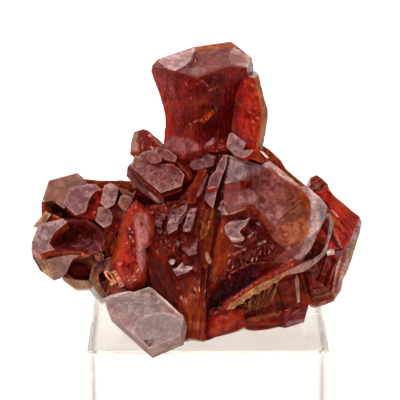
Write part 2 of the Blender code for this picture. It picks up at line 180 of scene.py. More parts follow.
def lattice(cells, seed):
    """A repeatable random number from 0 to 1 for each whole-number cell."""
    cells = cells.astype(np.int64)
    mixed = seed * LATTICE_SEED
    for axis, factor in enumerate(LATTICE_FACTORS):
        mixed = mixed ^ (cells[..., axis] * factor)
    mixed = mixed & 0xFFFFFFFF
    for shift, factor in LATTICE_MIXES:
        mixed = ((mixed ^ (mixed >> shift)) * factor) & 0xFFFFFFFF
    return ((mixed ^ (mixed >> 16)) & 0xFFFFFF) / float(0xFFFFFF)


def noise(points, size, seed):
    """Smooth noise from 0 to 1 with features of the given size in millimetres."""
    scaled = points / size
    low = np.floor(scaled)
    part = scaled - low
    ease = part * part * (3 - 2 * part)
    total = np.zeros(len(points))
    for corner in range(8):
        offset = np.array([corner & 1, (corner >> 1) & 1, (corner >> 2) & 1])
        weight = np.prod(np.where(offset, ease, 1 - ease), axis=1)
        total += weight * lattice(low + offset, seed)
    return total


def rough_noise(points, size, seed, octaves=3):
    """Noise with finer and finer parts, from 0 to 1."""
    total, strength, reach = 0.0, 1.0, 0.0
    for octave in range(octaves):
        total = total + noise(points, size / 2 ** octave, seed + octave) * strength
        reach += strength
        strength *= 0.55
    return total / reach


def line_noise(along, seed):
    """Smooth noise along a line, from 0 to 1."""
    return noise(on_line(along), 1.0, seed)


def on_line(along):
    """Places on a line for the noise functions."""
    return np.column_stack([along, np.zeros(len(along)), np.zeros(len(along))])


def cells(points, size, seed):
    """Distance to the nearest of scattered points, to the second, and that point's number."""
    scaled = points / size
    base = np.floor(scaled)
    nearest = np.full(len(points), 9.0)
    second = np.full(len(points), 9.0)
    number = np.zeros(len(points))
    for code in range(27):
        cell = base + np.array([code % 3 - 1, code // 3 % 3 - 1, code // 9 - 1])
        spot = cell + np.column_stack([lattice(cell, seed + k) for k in (1, 2, 3)])
        gap = np.linalg.norm(scaled - spot, axis=1)
        closer = gap < nearest
        second = np.where(closer, nearest, np.minimum(second, gap))
        number = np.where(closer, lattice(cell, seed + 4), number)
        nearest = np.where(closer, gap, nearest)
    return nearest, second, number


def blocky_relief(points, size, seed):
    """Small crystal-like blocks: flat-topped cells at many heights, from 0 to 1."""
    nearest, second, number = cells(points, size, seed)
    return number * smooth(second - nearest, 0.0, 0.35)


def smooth(value, low, high):
    """A soft step from 0 at low to 1 at high."""
    t = np.clip((value - low) / (high - low), 0.0, 1.0)
    return t * t * (3 - 2 * t)


def mix(first, second, share):
    """Colours between the first and the second, row by row."""
    share = np.asarray(share)[:, None]
    return first * (1 - share) + second * share


def shade(points, tint, size, seed):
    """A colour that wanders between the two ends of a tint."""
    share = smooth(rough_noise(points, size, seed, 3), 0.3, 0.7)
    paler, darker = map(srgb, tint.split())
    return mix(paler[None, :], darker[None, :], share)


# Outlines

def edge_distance(across_down, outline):
    """Distance to an outline's nearest edge, positive inside."""
    ends = corners(outline)
    nearest = np.full(len(across_down), 1e9)
    inside = np.zeros(len(across_down), bool)
    for start, end in zip(ends, np.roll(ends, -1, axis=0)):
        along = end - start
        away = across_down - start
        share = np.clip(away @ along / along.dot(along), 0, 1)
        nearest = np.minimum(nearest, np.linalg.norm(away - share[:, None] * along, axis=1))
        crosses = (start[1] > across_down[:, 1]) != (end[1] > across_down[:, 1])
        if along[1]:
            where = start[0] + (across_down[:, 1] - start[1]) * along[0] / along[1]
            inside ^= crosses & (across_down[:, 0] < where)
    return np.where(inside, nearest, -nearest)


def divided(outline, step_size):
    """An outline's corners with points about one step apart between them."""
    points, edges = [], []
    for number, (start, end) in enumerate(zip(outline, np.roll(outline, -1, axis=0))):
        count = max(1, round(np.linalg.norm(end - start) / step_size))
        shares = np.arange(count)[:, None] / count
        points.append(start + (end - start) * shares)
        edges += [number] * count
    return np.vstack(points), np.array(edges)


def fill_outline(border, step_size):
    """Points inside a border, and the triangles over border and points together."""
    low, high = border.min(0), border.max(0)
    rows = np.arange(low[1] + step_size / 2, high[1], step_size * 0.87)
    grid = [(x + (row % 2) * step_size / 2, y) for row, y in enumerate(rows)
            for x in np.arange(low[0] + step_size / 2, high[0], step_size)]
    inner = np.array(grid).reshape(-1, 2)
    if len(inner):
        inner = inner[edge_distance(inner, border) > step_size * 0.45]
    return inner, triangles_inside(np.vstack([border, inner]), len(border))


def triangles_inside(points, count):
    """Triangles over points whose first count make the border."""
    loop = [(i, (i + 1) % count) for i in range(count)]
    found = geometry.delaunay_2d_cdt([Vector(p) for p in points], loop, [], 1, 1e-6)
    faces = [[found[3][v][0] for v in face] for face in found[2]
             if all(found[3][v] for v in face)]
    return np.array(faces, int).reshape(-1, 3)


def turned_along(points, triangles, direction):
    """The triangles, turned over if as a whole they look against a direction."""
    looks_to = triangle_normals(points, triangles).sum(axis=0)
    return triangles[:, ::-1] if looks_to.dot(direction) < 0 else triangles


def triangle_normals(points, triangles):
    """Which way each triangle looks, as long as twice its area."""
    return np.cross(points[triangles[:, 1]] - points[triangles[:, 0]],
                    points[triangles[:, 2]] - points[triangles[:, 0]])


# Relief of an end face. Each feature is a function that carves a face; it is given a seed.

class Face:
    """An end face while it is carved: its depth into the crystal, the finer part of it, tints."""

    def __init__(self, spots, points):
        self.spots, self.points = spots, points
        self.depth = np.zeros(len(spots))
        self.fine = np.zeros(len(spots))
        self.tints = []

    def within(self, outline):
        """1 inside an outline and 0 outside it, or 1 all over if there is no outline."""
        if outline is None:
            return 1.0
        return smooth(edge_distance(self.spots, outline), -1.0, 2.0)

    def colour(self, share, tint, seed, finish=None):
        """Give a share of the face a tint, if there is one."""
        if tint is not None:
            self.tints.append((share, tint, finish, seed))


def directions(degrees):
    """A direction on the sheet, turned from across to down, and the one square to it."""
    cosine, sine = math.cos(math.radians(degrees)), math.sin(math.radians(degrees))
    return np.array([cosine, sine]), np.array([-sine, cosine])


def hollow(outline, depth, slope, tint=BLACK_RED, roughness=0.25, finish=HOLLOW):
    """A hopper hollow that falls away from its rim."""
    def carve(face, seed):
        wobble = (noise(face.points, 0.5, seed) - 0.5) * 0.6
        inside = edge_distance(face.spots, outline) + wobble
        share = smooth(inside, 0.0, slope)
        face.depth += depth * share
        if roughness:
            rough = (rough_noise(face.points, 0.5, seed, 2) - 0.5
                     + blocky_relief(face.points, 0.45, seed) - 0.5)
            face.depth += rough * roughness * share
        face.colour(smooth(inside, -0.2, 0.9), tint, seed, finish)
    return carve


def step(outline, rise, tint=None, finish=None, edge=0.9):
    """A growth layer that stands up from the face, or a ledge below it if rise is less than 0."""
    return hollow(outline, -rise, edge, tint, 0.0, finish)


def hillock(middle, radii, rise, turn=0.0):
    """A rounded rise inside an oval."""
    def carve(face, _):
        along, aside = directions(turn)
        away = face.spots - np.array(middle)
        reach = np.hypot(away @ along / radii[0], away @ aside / radii[1])
        lifted = rise * smooth(1 - reach, 0.0, 0.8)
        face.depth -= lifted
        face.fine -= 0.4 * lifted
    return carve


def pits(amount, size=0.5, depth=0.12, tint=RED, within=None):
    """Scattered round pits."""
    def carve(face, seed):
        nearest, _, number = cells(face.points, size * 0.7, seed)
        share = smooth(0.36 - nearest, 0.0, 0.2) * (number < amount) * face.within(within)
        face.fine += share * depth
        face.depth += share * depth
        face.colour(share * 0.6, tint, seed)
    return carve


def ripples(angle, period, depth, warp=1.0, within=None, tint=None):
    """Growth lines across a face; angle in degrees from across to down, period in sheet units."""
    def carve(face, seed):
        here = face.within(within)
        along = face.spots @ directions(angle)[0] / period
        along = along + (noise(face.points, 1.6, seed) - 0.5) * 2 * warp
        wave = line_noise(along, seed + 3)
        lines = (wave - 0.5) * depth * here
        face.depth += lines
        face.fine += lines * 1.6
        face.colour(smooth(wave, 0.55, 0.7) * here, tint, seed)
    return carve


def rays(centre, wide, depth, within=None):
    """Flat-sided ridges that spread from a point, each so many degrees wide."""
    def carve(face, seed):
        here = face.within(within)
        away = face.spots - np.array(centre)
        turn = np.degrees(np.arctan2(away[:, 0], -away[:, 1])) / wide
        turn = turn + (noise(face.points, 4.0, seed) - 0.5) * 0.6
        nearest, second, number = cells(on_line(turn), 1.0, seed)
        face.depth += (nearest - 0.5) * depth * here
        crease = 1 - smooth(second - nearest, 0.0, 0.2)
        face.fine += (0.10 * crease + 0.12 * (number - 0.5)) * here
    return carve


def worn(amount, tint):
    """Thin places in the frost, through which the clear red below is seen."""
    def carve(face, seed):
        edge = 1.0 - 0.42 * amount
        share = smooth(rough_noise(face.points, 1.3, seed, 4), edge - 0.3, edge)
        face.colour(share * 0.75, tint, seed)
    return carve


def bumps(size, depth, blocky=0.0, within=None):
    """Rough ground, more or less made of small blocks."""
    def carve(face, seed):
        here = face.within(within)
        rough = rough_noise(face.points, size, seed, 3) - 0.5
        if blocky:
            blocks = blocky_relief(face.points, size, seed) - 0.5
            rough = rough + blocks * blocky
        face.depth += rough * depth * here
        face.fine += rough * depth * here * 0.6
    return carve


# Skins

def stand_in(name, mesh, node):
    """Put a mesh in the scene as a piece of the root body, in place of one of the solids."""
    piece = bpy.data.objects.new(name, mesh)
    bpy.context.scene.collection.objects.link(piece)
    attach(piece, "root")
    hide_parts(node)


class Skin:
    """The faces of one piece: places, triangles, and each corner's colour and finish."""

    def __init__(self):
        self.places, self.triangles, self.corner_colours, self.finishes = [], [], [], []
        self.count = 0
        self.marks = []

    def stain(self, outline, tint, strength, soft, finish=None, out=-1.0):
        """Tint whatever is seen inside an outline and stands further out than the given place."""
        self.marks.append((corners(outline), tint, strength, soft, finish, out))

    def dab(self, middle, radii, tint, strength, turn=0.0, finish=None, soft=None):
        """Tint whatever is seen inside an oval; its edge is soft if no width is given."""
        cosine, sine = directions(turn)[0]
        oval = []
        for number in range(OVAL_POINTS):
            angle = math.tau * number / OVAL_POINTS
            x, y = radii[0] * math.cos(angle), radii[1] * math.sin(angle)
            oval.append((middle[0] + x * cosine - y * sine, middle[1] + x * sine + y * cosine))
        soft = 0.8 * min(radii) if soft is None else soft
        self.stain(oval, tint, strength, soft, finish)

    def marked(self, points, triangles, colours, finishes):
        """Colours and finishes once the piece's stains and dabs are on them."""
        spots = sheet_place(points)
        colours = colours.copy()
        for number, (outline, tint, strength, soft, finish, out) in enumerate(self.marks):
            low, high = outline.min(0) - soft - 2, outline.max(0) + soft + 2
            near = np.all((spots > low) & (spots < high), axis=1) & (points[:, 2] > out)
            if not near.any():
                continue
            inside = edge_distance(spots[near], outline)
            inside = inside + (noise(points[near], 0.35, 70 + number) - 0.5) * soft
            share = np.zeros(len(points))
            share[near] = smooth(inside, -soft / 2, soft / 2)
            other = shade(points[near], tint, 0.6, 90 + number)
            colours[near] = mix(colours[near], other, share[near] * strength)
            if finish is not None:
                finishes = np.where(share[triangles].min(axis=1) > 0.5, finish, finishes)
        return colours, finishes

    def add(self, points, triangles, colours, finishes):
        """Take a mesh part; colours are one to a place, finishes one to a triangle."""
        colours, finishes = self.marked(points, triangles, colours, finishes)
        self.places.append(points)
        self.triangles.append(triangles + self.count)
        self.corner_colours.append(colours[triangles])
        self.finishes.append(finishes)
        self.count += len(points)

    def build(self, name, materials):
        """Make the piece, kept clear of the block."""
        places = to_world(np.vstack(self.places))
        over_block = np.abs(places[:, :2]).max(axis=1) < BLOCK_HALF * MM
        places[over_block, 2] = np.maximum(places[over_block, 2], (BLOCK_TOP + GAP) * MM)
        mesh = bpy.data.meshes.new(name)
        mesh.from_pydata(places, [], np.vstack(self.triangles).tolist())
        colours = np.concatenate(self.corner_colours).reshape(-1, 3)
        layer = mesh.color_attributes.new("tint", "FLOAT_COLOR", "CORNER")
        layer.data.foreach_set("color", np.column_stack([colours, np.ones(len(colours))]).ravel())
        for material in materials:
            mesh.materials.append(material)
        mesh.polygons.foreach_set("material_index", np.concatenate(self.finishes))
        mesh.shade_smooth()
        mesh.set_sharp_from_angle(angle=CRYSTAL_SHARP)
        mesh.update()
        stand_in(name, mesh, "crystal_cluster")


def sparkled(points, colours, frosted, seed):
    """Colours with the fine grain of a rough face, or the few glints of a wet one."""
    grain = 1 + (noise(points, 0.16, seed) - 0.5) * np.where(frosted, 0.5, 0.3)
    glint = smooth(noise(points, 0.24, seed + 1), 0.86, 0.95) * 0.4
    sparkle = np.where(frosted[:, None], srgb(FROST_GLINT), srgb(WET_GLINT))
    return mix(colours * grain[:, None], sparkle, glint)


def end_face(border, place_of, features, tint, finish, cut, seed, rim):
    """An end face inside a border: its places, triangles, colours and finishes."""
    inner, triangles = fill_outline(border, cut)
    spots = np.vstack([border, inner])
    flat = place_of(spots, np.zeros(len(spots)))
    face = Face(spots, flat)
    for number, carve in enumerate(features):
        carve(face, seed + 17 * number)
    inside = edge_distance(spots, border)
    depth = face.depth * smooth(inside, -0.1, 0.8) + 0.05 * (1 - smooth(inside, 0.0, 1.0))
    depth += (rough_noise(flat, 0.9, seed + 5) - 0.5) * 0.05
    colours = shade(flat, tint, 0.55, seed + 6)
    corner_finish = np.full(len(spots), finish)
    for share, other, other_finish, own in face.tints:
        colours = mix(colours, shade(flat, other, 0.6, own + 9), share)
        if other_finish is not None:
            corner_finish = np.where(share > 0.5, other_finish, corner_finish)
    near_edge = 1 - smooth(inside, 0.0, 6.0)
    light = np.clip(1 - 2.2 * face.fine, 0.45, 1.6) * (0.86 + 0.24 * near_edge)
    colours = colours * light[:, None]
    # A line in the rim colour along the outline: painted highlight where the edge catches the light, in
    # a few crystals the edge's own colour
    if rim is not None:
        edge = (1 - smooth(inside, 0.5, RIM_WIDTH)) * smooth(noise(flat, 0.8, seed + 8), 0.2, 0.7)
        colours = mix(colours, srgb(rim)[None, :], edge * 0.5)
    rough = (corner_finish == FROSTED) | (corner_finish == CRUST)
    colours = sparkled(flat, colours, rough, seed + 20)
    return place_of(spots, depth), triangles, colours, corner_finish[triangles].max(axis=1)


def side_grid(front, back, layers, edges, seed, lines):
    """Rows of places from the front border back to the root, with growth lines."""
    count = len(front)
    rows = []
    ahead = np.roll(front, -1, axis=0) - np.roll(front, 1, axis=0)
    outward = np.cross(ahead, back - front)
    outward /= np.maximum(np.linalg.norm(outward, axis=1), 1e-9)[:, None]
    area = np.cross(front, np.roll(front, -1, axis=0)).sum(axis=0)
    if area.dot(front.mean(0) - back.mean(0)) < 0:
        outward = -outward
    for number, share in enumerate(np.linspace(0, 1, layers)):
        row = front + (back - front) * share
        if 0 < number < layers - 1:
            level = np.column_stack([np.full(count, share * 6 / 0.35), edges * 7.0,
                                     np.full(count, seed)])
            relief = (noise(level, 1.0, seed) - 0.5) * lines
            relief = relief + (rough_noise(row, 0.6, seed + 2) - 0.5) * lines * 0.8
            row = row + outward * relief[:, None]
        rows.append(row)
    return rows


def grid_triangles(count, layers):
    """Triangles of a closed band, row by row."""
    i = np.arange(count)
    j = (i + 1) % count
    bands = []
    for layer in range(layers - 1):
        top, low = layer * count, (layer + 1) * count
        bands.append(np.column_stack([top + i, low + i, low + j]))
        bands.append(np.column_stack([top + i, low + j, top + j]))
    return np.vstack(bands)


def add_sides(skin, rows, side, side_finish, seed, normal, side_edge):
    """The band behind an end face, and the plain back of it."""
    count, layers = len(rows[0]), len(rows)
    points = np.vstack(rows)
    bands = grid_triangles(count, layers)
    outwards = points[bands].mean(axis=1) - rows[0].mean(0)
    outwards -= np.outer(outwards @ normal, normal)
    if (triangle_normals(points, bands) * outwards).sum() < 0:
        bands = bands[:, ::-1]
    colours = shade(points, side, 0.8, seed + 11)
    if side_edge is not None:
        share = np.repeat(np.linspace(0, 1, layers), count)
        colours = mix(colours, shade(points, side_edge, 0.5, seed + 12),
                      (1 - smooth(share, 0.0, 0.16)) * 0.8)
    skin.add(points, bands, colours, np.full(len(bands), side_finish))
    last = rows[-1]
    axis = np.array([1.0, 0.0, 0.0]) if abs(normal[0]) < 0.9 else np.array([0.0, 1.0, 0.0])
    right = axis - normal * axis.dot(normal)
    right /= np.linalg.norm(right)
    loop = np.column_stack([last @ right, last @ np.cross(normal, right)])
    back = triangles_inside(loop, count)
    if len(back):
        skin.add(last, turned_along(last, back, -normal), colours[-count:],
                 np.full(len(back), side_finish))


def prism(skin, outline, place_of, centre, normal, length, tint, side, features, seed,
          finish=FROSTED, side_finish=GLOSSY, cut=FINE, rim=RIM_HIGHLIGHT, side_edge=None, lines=0.08,
          taper=1.0):
    """An end face, and the sides that run back from it by a length."""
    border, edges = divided(outline, cut)
    points, triangles, colours, finishes = end_face(border, place_of, features, tint, finish,
                                                    cut, seed, rim)
    skin.add(points, turned_along(points, triangles, normal), colours, finishes)
    front = points[:len(border)]
    root = centre - normal * length
    back = root + (front - centre - np.outer((front - centre) @ normal, normal)) * taper
    layers = int(np.clip(round(length / SIDE_STEP / cut * FINE), FEWEST_LAYERS, MOST_LAYERS))
    rows = side_grid(front, back, layers, edges, seed, lines)
    add_sides(skin, rows, side, side_finish, seed, normal, side_edge)


def face_normal(lean, facing):
    """Which way a face looks that leans right and up; facing is 1 for the eye, -1 away."""
    right, up = lean
    return np.array([right, up, facing * math.sqrt(1 - right * right - up * up)])


def crystal(skin, outline, out, lean, length, tint, side, *features, finish=FROSTED, wear=0.5,
            seed=None, **looks):
    """A prism whose end face is drawn on the sheet, with a fine skin on every side."""
    outline = corners(outline)
    if seed is None:
        seed = int(outline[0][0] * 7 + outline[0][1] * 13) % 9973
    centre = lift_one(*outline.mean(0), out)
    normal = face_normal(lean, 1)

    def place_of(spots, depth):
        return lift(spots, face_out(spots, centre, normal) - depth)

    if finish == FROSTED:
        features = (worn(wear, UNDER_FROST), *features)
    prism(skin, outline, place_of, centre, normal, length, tint, side, features, seed,
          finish=finish, **looks)


def grown_crystal(skin, centre, normal, outline, length, features, tint, side, **looks):
    """A prism that faces any way: outline in sheet units about its middle."""
    across = np.cross([0.0, 1.0, 0.0] if abs(normal[1]) < 0.9 else [1.0, 0.0, 0.0], normal)
    across /= np.linalg.norm(across)
    upward = np.cross(normal, across)

    def place_of(spots, depth):
        flat = spots * SHEET_UNIT
        return (centre + np.outer(flat[:, 0], across) + np.outer(flat[:, 1], upward)
                - depth[:, None] * normal)

    prism(skin, np.array(outline), place_of, centre, normal, length, tint, side, features,
          **looks)


# Lofts: crystals whose outline changes along them

def look(tint, finish=GLOSSY, pitch=0.35, depth=0.08, rough=0.06, rough_size=0.7, scales=None):
    """How one side of a loft looks: lines so close and so deep that run along it, roughness,
    and scales, if it has any, so wide and so high in sheet units."""
    return {"tint": tint, "finish": finish, "pitch": pitch, "depth": depth, "rough": rough,
            "rough_size": rough_size, "scales": scales}


def along_rings(rings, layers):
    """Columns of places that run smoothly through the rings, several rows to each ring."""
    padded = np.concatenate([2 * rings[:1] - rings[1:2], rings, 2 * rings[-1:] - rings[-2:-1]])
    rows = []
    for number in range(len(rings) - 1):
        a, b, c, d = padded[number:number + 4]
        for share in np.arange(layers) / layers:
            rows.append(0.5 * (2 * b + (c - a) * share
                               + (2 * a - 5 * b + 4 * c - d) * share ** 2
                               + (3 * b - a - 3 * c + d) * share ** 3))
    rows.append(rings[-1])
    return np.array(rows)


def loft_columns(rings, cut):
    """Columns of places about one cut apart around the rings, and each column's edge."""
    columns, edges = [], []
    count_of_edges = rings.shape[1]
    for edge in range(count_of_edges):
        start, end = rings[:, edge], rings[:, (edge + 1) % count_of_edges]
        gap = np.linalg.norm(lift_one(*end[0]) - lift_one(*start[0]))
        count = max(2, round(gap / SHEET_UNIT / cut))
        for share in np.arange(count) / count:
            columns.append(start + (end - start) * share)
            edges.append(edge)
    return np.stack(columns, axis=1), np.array(edges)


def side_look(side, edge, flat, sheet, position, level, seed):
    """Relief and colours that one side's look would give to every place of a loft."""
    key = np.column_stack([position * side["pitch"], level * 0.12, level * 0.0])
    lines = noise(key, 1.0, seed + edge) - 0.5
    rough = rough_noise(flat, side["rough_size"], seed + 30, 3) - 0.5
    relief = lines * side["depth"] + rough * side["rough"]
    colours = shade(flat, side["tint"], 0.9, seed + 40 + edge)
    colours = colours * (1 + 0.5 * lines)[:, None]
    if side["scales"] is not None:
        wide, high = side["scales"]
        key = np.column_stack([sheet[:, 0] / wide, sheet[:, 1] / high, np.zeros(len(sheet))])
        nearest, second, number = cells(key, 1.0, seed + 80)
        middle = smooth(second - nearest, 0.0, 0.4)
        relief = relief + (0.05 * (middle - 0.5) + 0.05 * (number - 0.5))
        colours = colours * (0.52 + 0.48 * middle + 0.42 * number)[:, None]
        colours = sparkled(flat, colours, np.zeros(len(flat), bool), seed + 90)
    return relief, colours


def loft(skin, rings, sides, top_features, top_tint, top_finish, cut, layers, seed, rim):
    """A crystal through rings of (across, down, out); sides has a look for each edge."""
    columns, edges = loft_columns(np.array([corners(ring) for ring in rings]), cut)
    grid = along_rings(columns, layers)
    height, count = grid.shape[:2]
    sheet = grid[..., :2].reshape(-1, 2)
    flat = lift(sheet, grid[..., 2].ravel())
    places = flat.reshape(height, count, 3)
    around = np.roll(places, -1, axis=1) - np.roll(places, 1, axis=1)
    outward = np.cross(around, np.gradient(places, axis=0))
    outward /= np.maximum(np.linalg.norm(outward, axis=2), 1e-9)[..., None]
    centre = places.mean(axis=1, keepdims=True)
    if (outward * (places - centre)).sum() < 0:
        outward = -outward
    outward = outward.reshape(-1, 3)
    colours = np.zeros((height * count, 3))
    relief = np.zeros(height * count)
    level = np.repeat(np.arange(height), count)
    position = np.tile(np.arange(count), height)
    finishes = np.zeros(count, int)
    for edge, side in enumerate(sides):
        chosen = np.tile(edges, height) == edge
        side_relief, side_colours = side_look(side, edge, flat, sheet, position, level, seed)
        relief[chosen] = side_relief[chosen]
        colours[chosen] = side_colours[chosen]
        finishes[edges == edge] = side["finish"]
    ends = (level > 0) & (level < height - 1)
    points = flat + outward * (relief * ends)[:, None]
    bands = grid_triangles(count, height)
    band_finishes = finishes[bands[:, 0] % count]
    if (triangle_normals(points, bands) * outward[bands[:, 0]]).sum() < 0:
        bands = bands[:, ::-1]
    skin.add(points, bands, colours, band_finishes)
    upwards = centre[0, 0] - centre[-1, 0]
    loft_top(skin, grid[0], points[:count], top_features, top_tint, top_finish, cut, seed, rim,
             upwards)
    loft_bottom(skin, points[-count:], colours[-count:], -upwards)


def loft_top(skin, ring, border_points, features, tint, finish, cut, seed, rim, upwards):
    """The end face of a loft, as far out everywhere as the ring is near there."""
    border = ring[:, :2]

    def place_of(spots, depth):
        gap = np.linalg.norm(spots[:, None, :] - border[None, :, :], axis=2)
        weight = 1.0 / np.maximum(gap, 1e-3) ** 2
        return lift(spots, weight @ ring[:, 2] / weight.sum(axis=1) - depth)

    points, triangles, colours, finishes = end_face(border, place_of, features, tint, finish,
                                                    cut, seed + 60, rim)
    points[:len(border)] = border_points
    skin.add(points, turned_along(points, triangles, upwards), colours, finishes)


def loft_bottom(skin, ring, colours, downwards):
    """Close a loft's hidden root with a fan."""
    count = len(ring)
    points = np.vstack([ring, ring.mean(0)])
    i = np.arange(count)
    fan = np.column_stack([i, (i + 1) % count, np.full(count, count)])
    skin.add(points, turned_along(points, fan, downwards), np.vstack([colours, colours[:1]]),
             np.full(count, GLOSSY))


# The crystals, group by group. Stains and dabs mark what is added after them, until the marks
# are cleared. A crystal is given as: outline, how far out, how its face leans right and up,
# length, tint of the face, tint of the sides, features of the face.


def tower_marks(skin):
    """Stains of the waisted crystal, some of them painted glow, sheen and highlight, and flecks that
    are painted glints.
    """
    # The top: a painted amber glow where light comes through the back edge, a smooth mauve slope that
    # is partly painted sheen, and a painted pale highlight on the glossy left corner
    for outline, tint, strength, soft in (
            ("194,44 206,45 216,43 231,39 239,45 228,48 214,50 203,51 195,50", "C87420 A04812", 0.95,
             6.0),
            ("206,58 230,52 246,50 247,64 228,66 217,70 207,73 197,79 188,71", "A4524C 742E2A", 0.8,
             7.0),
            ("187,69 197,66 207,70 204,74 197,78 190,74", "B8888A 865052", 0.75, 3.0),
            ("197,75 212,69 228,63 246,66 247,71 228,71 212,76 197,82 186,77 176,73 188,72",
             "8A2A22 5E1612", 0.8, 3.5),
            ("150,67 157,70 168,92 175,120 176,146 160,150 150,90", "AE2E1C 84190F", 0.85, 9.0),
            ("153,66 160,64 172,72 186,80 176,86 165,80 156,73", "6A2422 4A1110", 0.6, 6.0),
            ("186,104 199,99 214,90 216,94 204,104 190,108", "8E3A1C 6C1C10", 0.6, 6.0),
            ("205,78 230,70 228,96 214,142 204,136 208,100", BLACK_RED, 0.7, 9.0),
            ("226,70 246,70 238,96 233,132 222,140 222,100", DARK_RED, 0.8, 7.0)):
        skin.stain(outline, tint, strength, soft, out=-3.0)
    # The foot: a frosted patch with a dark band below it, and lines beside the groove
    skin.stain("170,135 180,139 189,139 195.6,142 201,149 182,154.5 174,151 162,147", "9E6666 703434",
            0.9, 2.4)
    skin.stain("203,147 208,142 214,137 217,140 213,146 204,149", "C09694 8A4040", 0.75, 1.6)
    skin.stain("165,150 181.5,158 202,151 214,145 216,149 203,156 182,163 164,154", DARK_RED, 0.9, 1.2)
    skin.stain("226,86 228,86 220,142 217,142", BLACK_RED, 0.8, 1.2)
    skin.stain("220.5,92 222.5,92 215,142 213,142", BLACK_RED, 0.6, 1.2)
    skin.stain("223,90 225.5,90 218,142 215.5,142", RED, 0.6, 1.0)
    # Painted pink glints on the front
    for middle, radii, turn in (
            ((206, 84), (3.2, 0.5), 50), ((202, 81), (2.2, 0.4), 30), ((210, 90), (2.6, 0.5), -30),
            ((215, 88), (3.0, 0.4), -35), ((186, 84), (3.0, 0.4), 60), ((196, 121), (4.0, 0.6), -25),
            ((216, 109), (2.6, 0.5), 60), ((203, 118), (2.2, 0.5), -45), ((191, 124), (1.6, 0.4), -10),
            ((209, 113), (1.6, 0.4), 30)):
        skin.dab(middle, radii, "C88E80 94483C", 0.75, turn)
    skin.dab((206, 115), (9.0, 5.0), "9A4420 70200F", 0.8, -40)


def tower_body(skin):
    """The waisted crystal, with two pale steps on its top."""
    maroon = "8A211A 66120E"
    scales = (2.4, 8.0)
    front = look(maroon, HOLLOW, pitch=0.5, depth=0.04, rough=0.06, scales=scales)
    back = look(RED, pitch=0.4, depth=0.08, rough=0.1)
    sides = [front, look(maroon, HOLLOW, pitch=0.6, depth=0.05, rough=0.08, scales=scales), front,
             look("A04038 701E18", HOLLOW, pitch=0.4, depth=0.06), back, back, back,
             look(RED, BACKLIT, pitch=0.4, depth=0.05),
             look(maroon, HOLLOW, pitch=0.5, depth=0.04, scales=scales)]
    rings = ["175,71,6.2 197,78,6.6 228,66,5.8 247,68,5 251.5,57.5,1.8 231,41.5,-1.6 "
             "193.5,47,-1.2 158,59,2.4 152,66,4.4",
             "172,82,5.4 197,88,5.2 227,80,4.9 247,80,3.9 253,72,0.8 231,68,-3.2 "
             "192,72,-2.8 158,84,0.8 152,74,3.6",
             "178,100,4.2 199,104,3.8 222,102,3.4 238,102,2.4 245,100,-0.3 231,98,-4 "
             "193,98,-3.6 163,100,0.2 160.5,97,2.6",
             "182,122,3.4 200,124,3 216,124,2.6 232,124,1.6 240,122,-1.2 230,120,-4.6 "
             "195,120,-4.4 168,122,-0.7 165.5,120,1.8",
             "181.5,155,5.2 201,150,5 214,143,4.3 234,142,1.8 246,143,-1.6 232,142,-5.2 "
             "196,142,-5 166,142,-1.1 163.5,147,3",
             "182,166,3.8 200,164,3.8 216,160,3.4 236,166,1.5 248,168,-2 232,168,-5.4 "
             "196,168,-5.2 170,166,-1.5 168,158,1.8"]
    top_left = ("157.5,61.9 160,57.5 193.5,47 196.9,49 194.4,52.8 191.5,60.7 185.7,66.5 174.9,71.7 "
                "167.8,69.8 162.4,65.7")
    top_right = "234.5,46.2 251.4,57.3 248.4,67.5 241.6,66.5 230,63.4 229,58 230,51"
    sliver = "195,54 198,60 201,66 196,70 190,71 186,69 192,62"
    # The pale tints of the two steps are partly painted sheen, light reflected by their frosted tops
    features = [step(top_left, 0.5, "EECFCC C09A9C", FROSTED, 1.2),
                step(top_right, 0.4, "FFE6E0 ECB4AC", FROSTED, 3.0),
                hollow(sliver, 0.4, 1.5, "94302A 6A1512", 0.2, GLOSSY), ripples(60, 3.0, 0.08),
                pits(0.25, 0.35, 0.08, SMOKE, top_left)]
    loft(skin, rings, sides, features, "A04E48 6E2C28", HOLLOW, cut=0.85, layers=18, seed=21,
         rim=None)


def tower_prism(skin):
    """The bright prism along the tower's right side, with a backlit edge."""
    glow = "C06A1C 943C0E"
    skin.stain("256,76 264,94 269,114 263,140 259,134 261,112 257,92", glow, 0.7, 4.0, out=1.0)
    skin.stain("238,76 246,76 240,98 237,130 231,132 232,110", DARK_RED, 0.8, 5.0)
    skin.stain("249,76 249.5,70 254,70 258,73 256,78", PALE, 0.8, 1.5)
    skin.stain("266.5,115 269,112 263,149 260,149 263,136", FROST_SHEEN, 0.85, 1.0, FROSTED, out=-4.0)
    skin.stain("232,124 240,130 250,141 252,147 244,142 231,134", SMOKE, 0.5, 4.0)
    # Painted pink glints on the prism
    for spot in (
            (256, 108), (253, 121), (254, 133), (250, 112), (258, 118), (246, 124), (256, 87),
            (251, 137), (254, 114)):
        skin.dab(spot, (0.5, 0.9), "D89A88 B05848", 0.7)
    bright = look(BRIGHT_RED, pitch=0.5, depth=0.05, rough=0.06, scales=(1.6, 9.0))
    edge = look(glow, BACKLIT, pitch=0.5, depth=0.05)
    rings = ["244,75,4.2 255.5,76.5,3.8 258,73.5,2.6 255,71,-1.8 240,72,-1.8",
             "236,95,4.2 259,96,4.2 263.5,95,2.3 257,95,-2.6 238,95,-2.4",
             "233,116,4 262,117,4 268,114.6,1.8 259,113,-3.4 238,112,-2.8",
             "231,134,4 257,147,4.2 263,146,2 257,142,-3.8 236,140,-3.2",
             "232,152,3.4 256,158,3.8 266,160,1.6 257,162,-4 236,162,-3.4"]
    sides = [bright, edge, look(RED, BACKLIT, scales=(2.0, 9.0)), look(RED), look(DARK_RED)]
    loft(skin, rings, sides, (), BRIGHT_RED, GLOSSY, cut=0.85, layers=16, seed=33, rim=None)


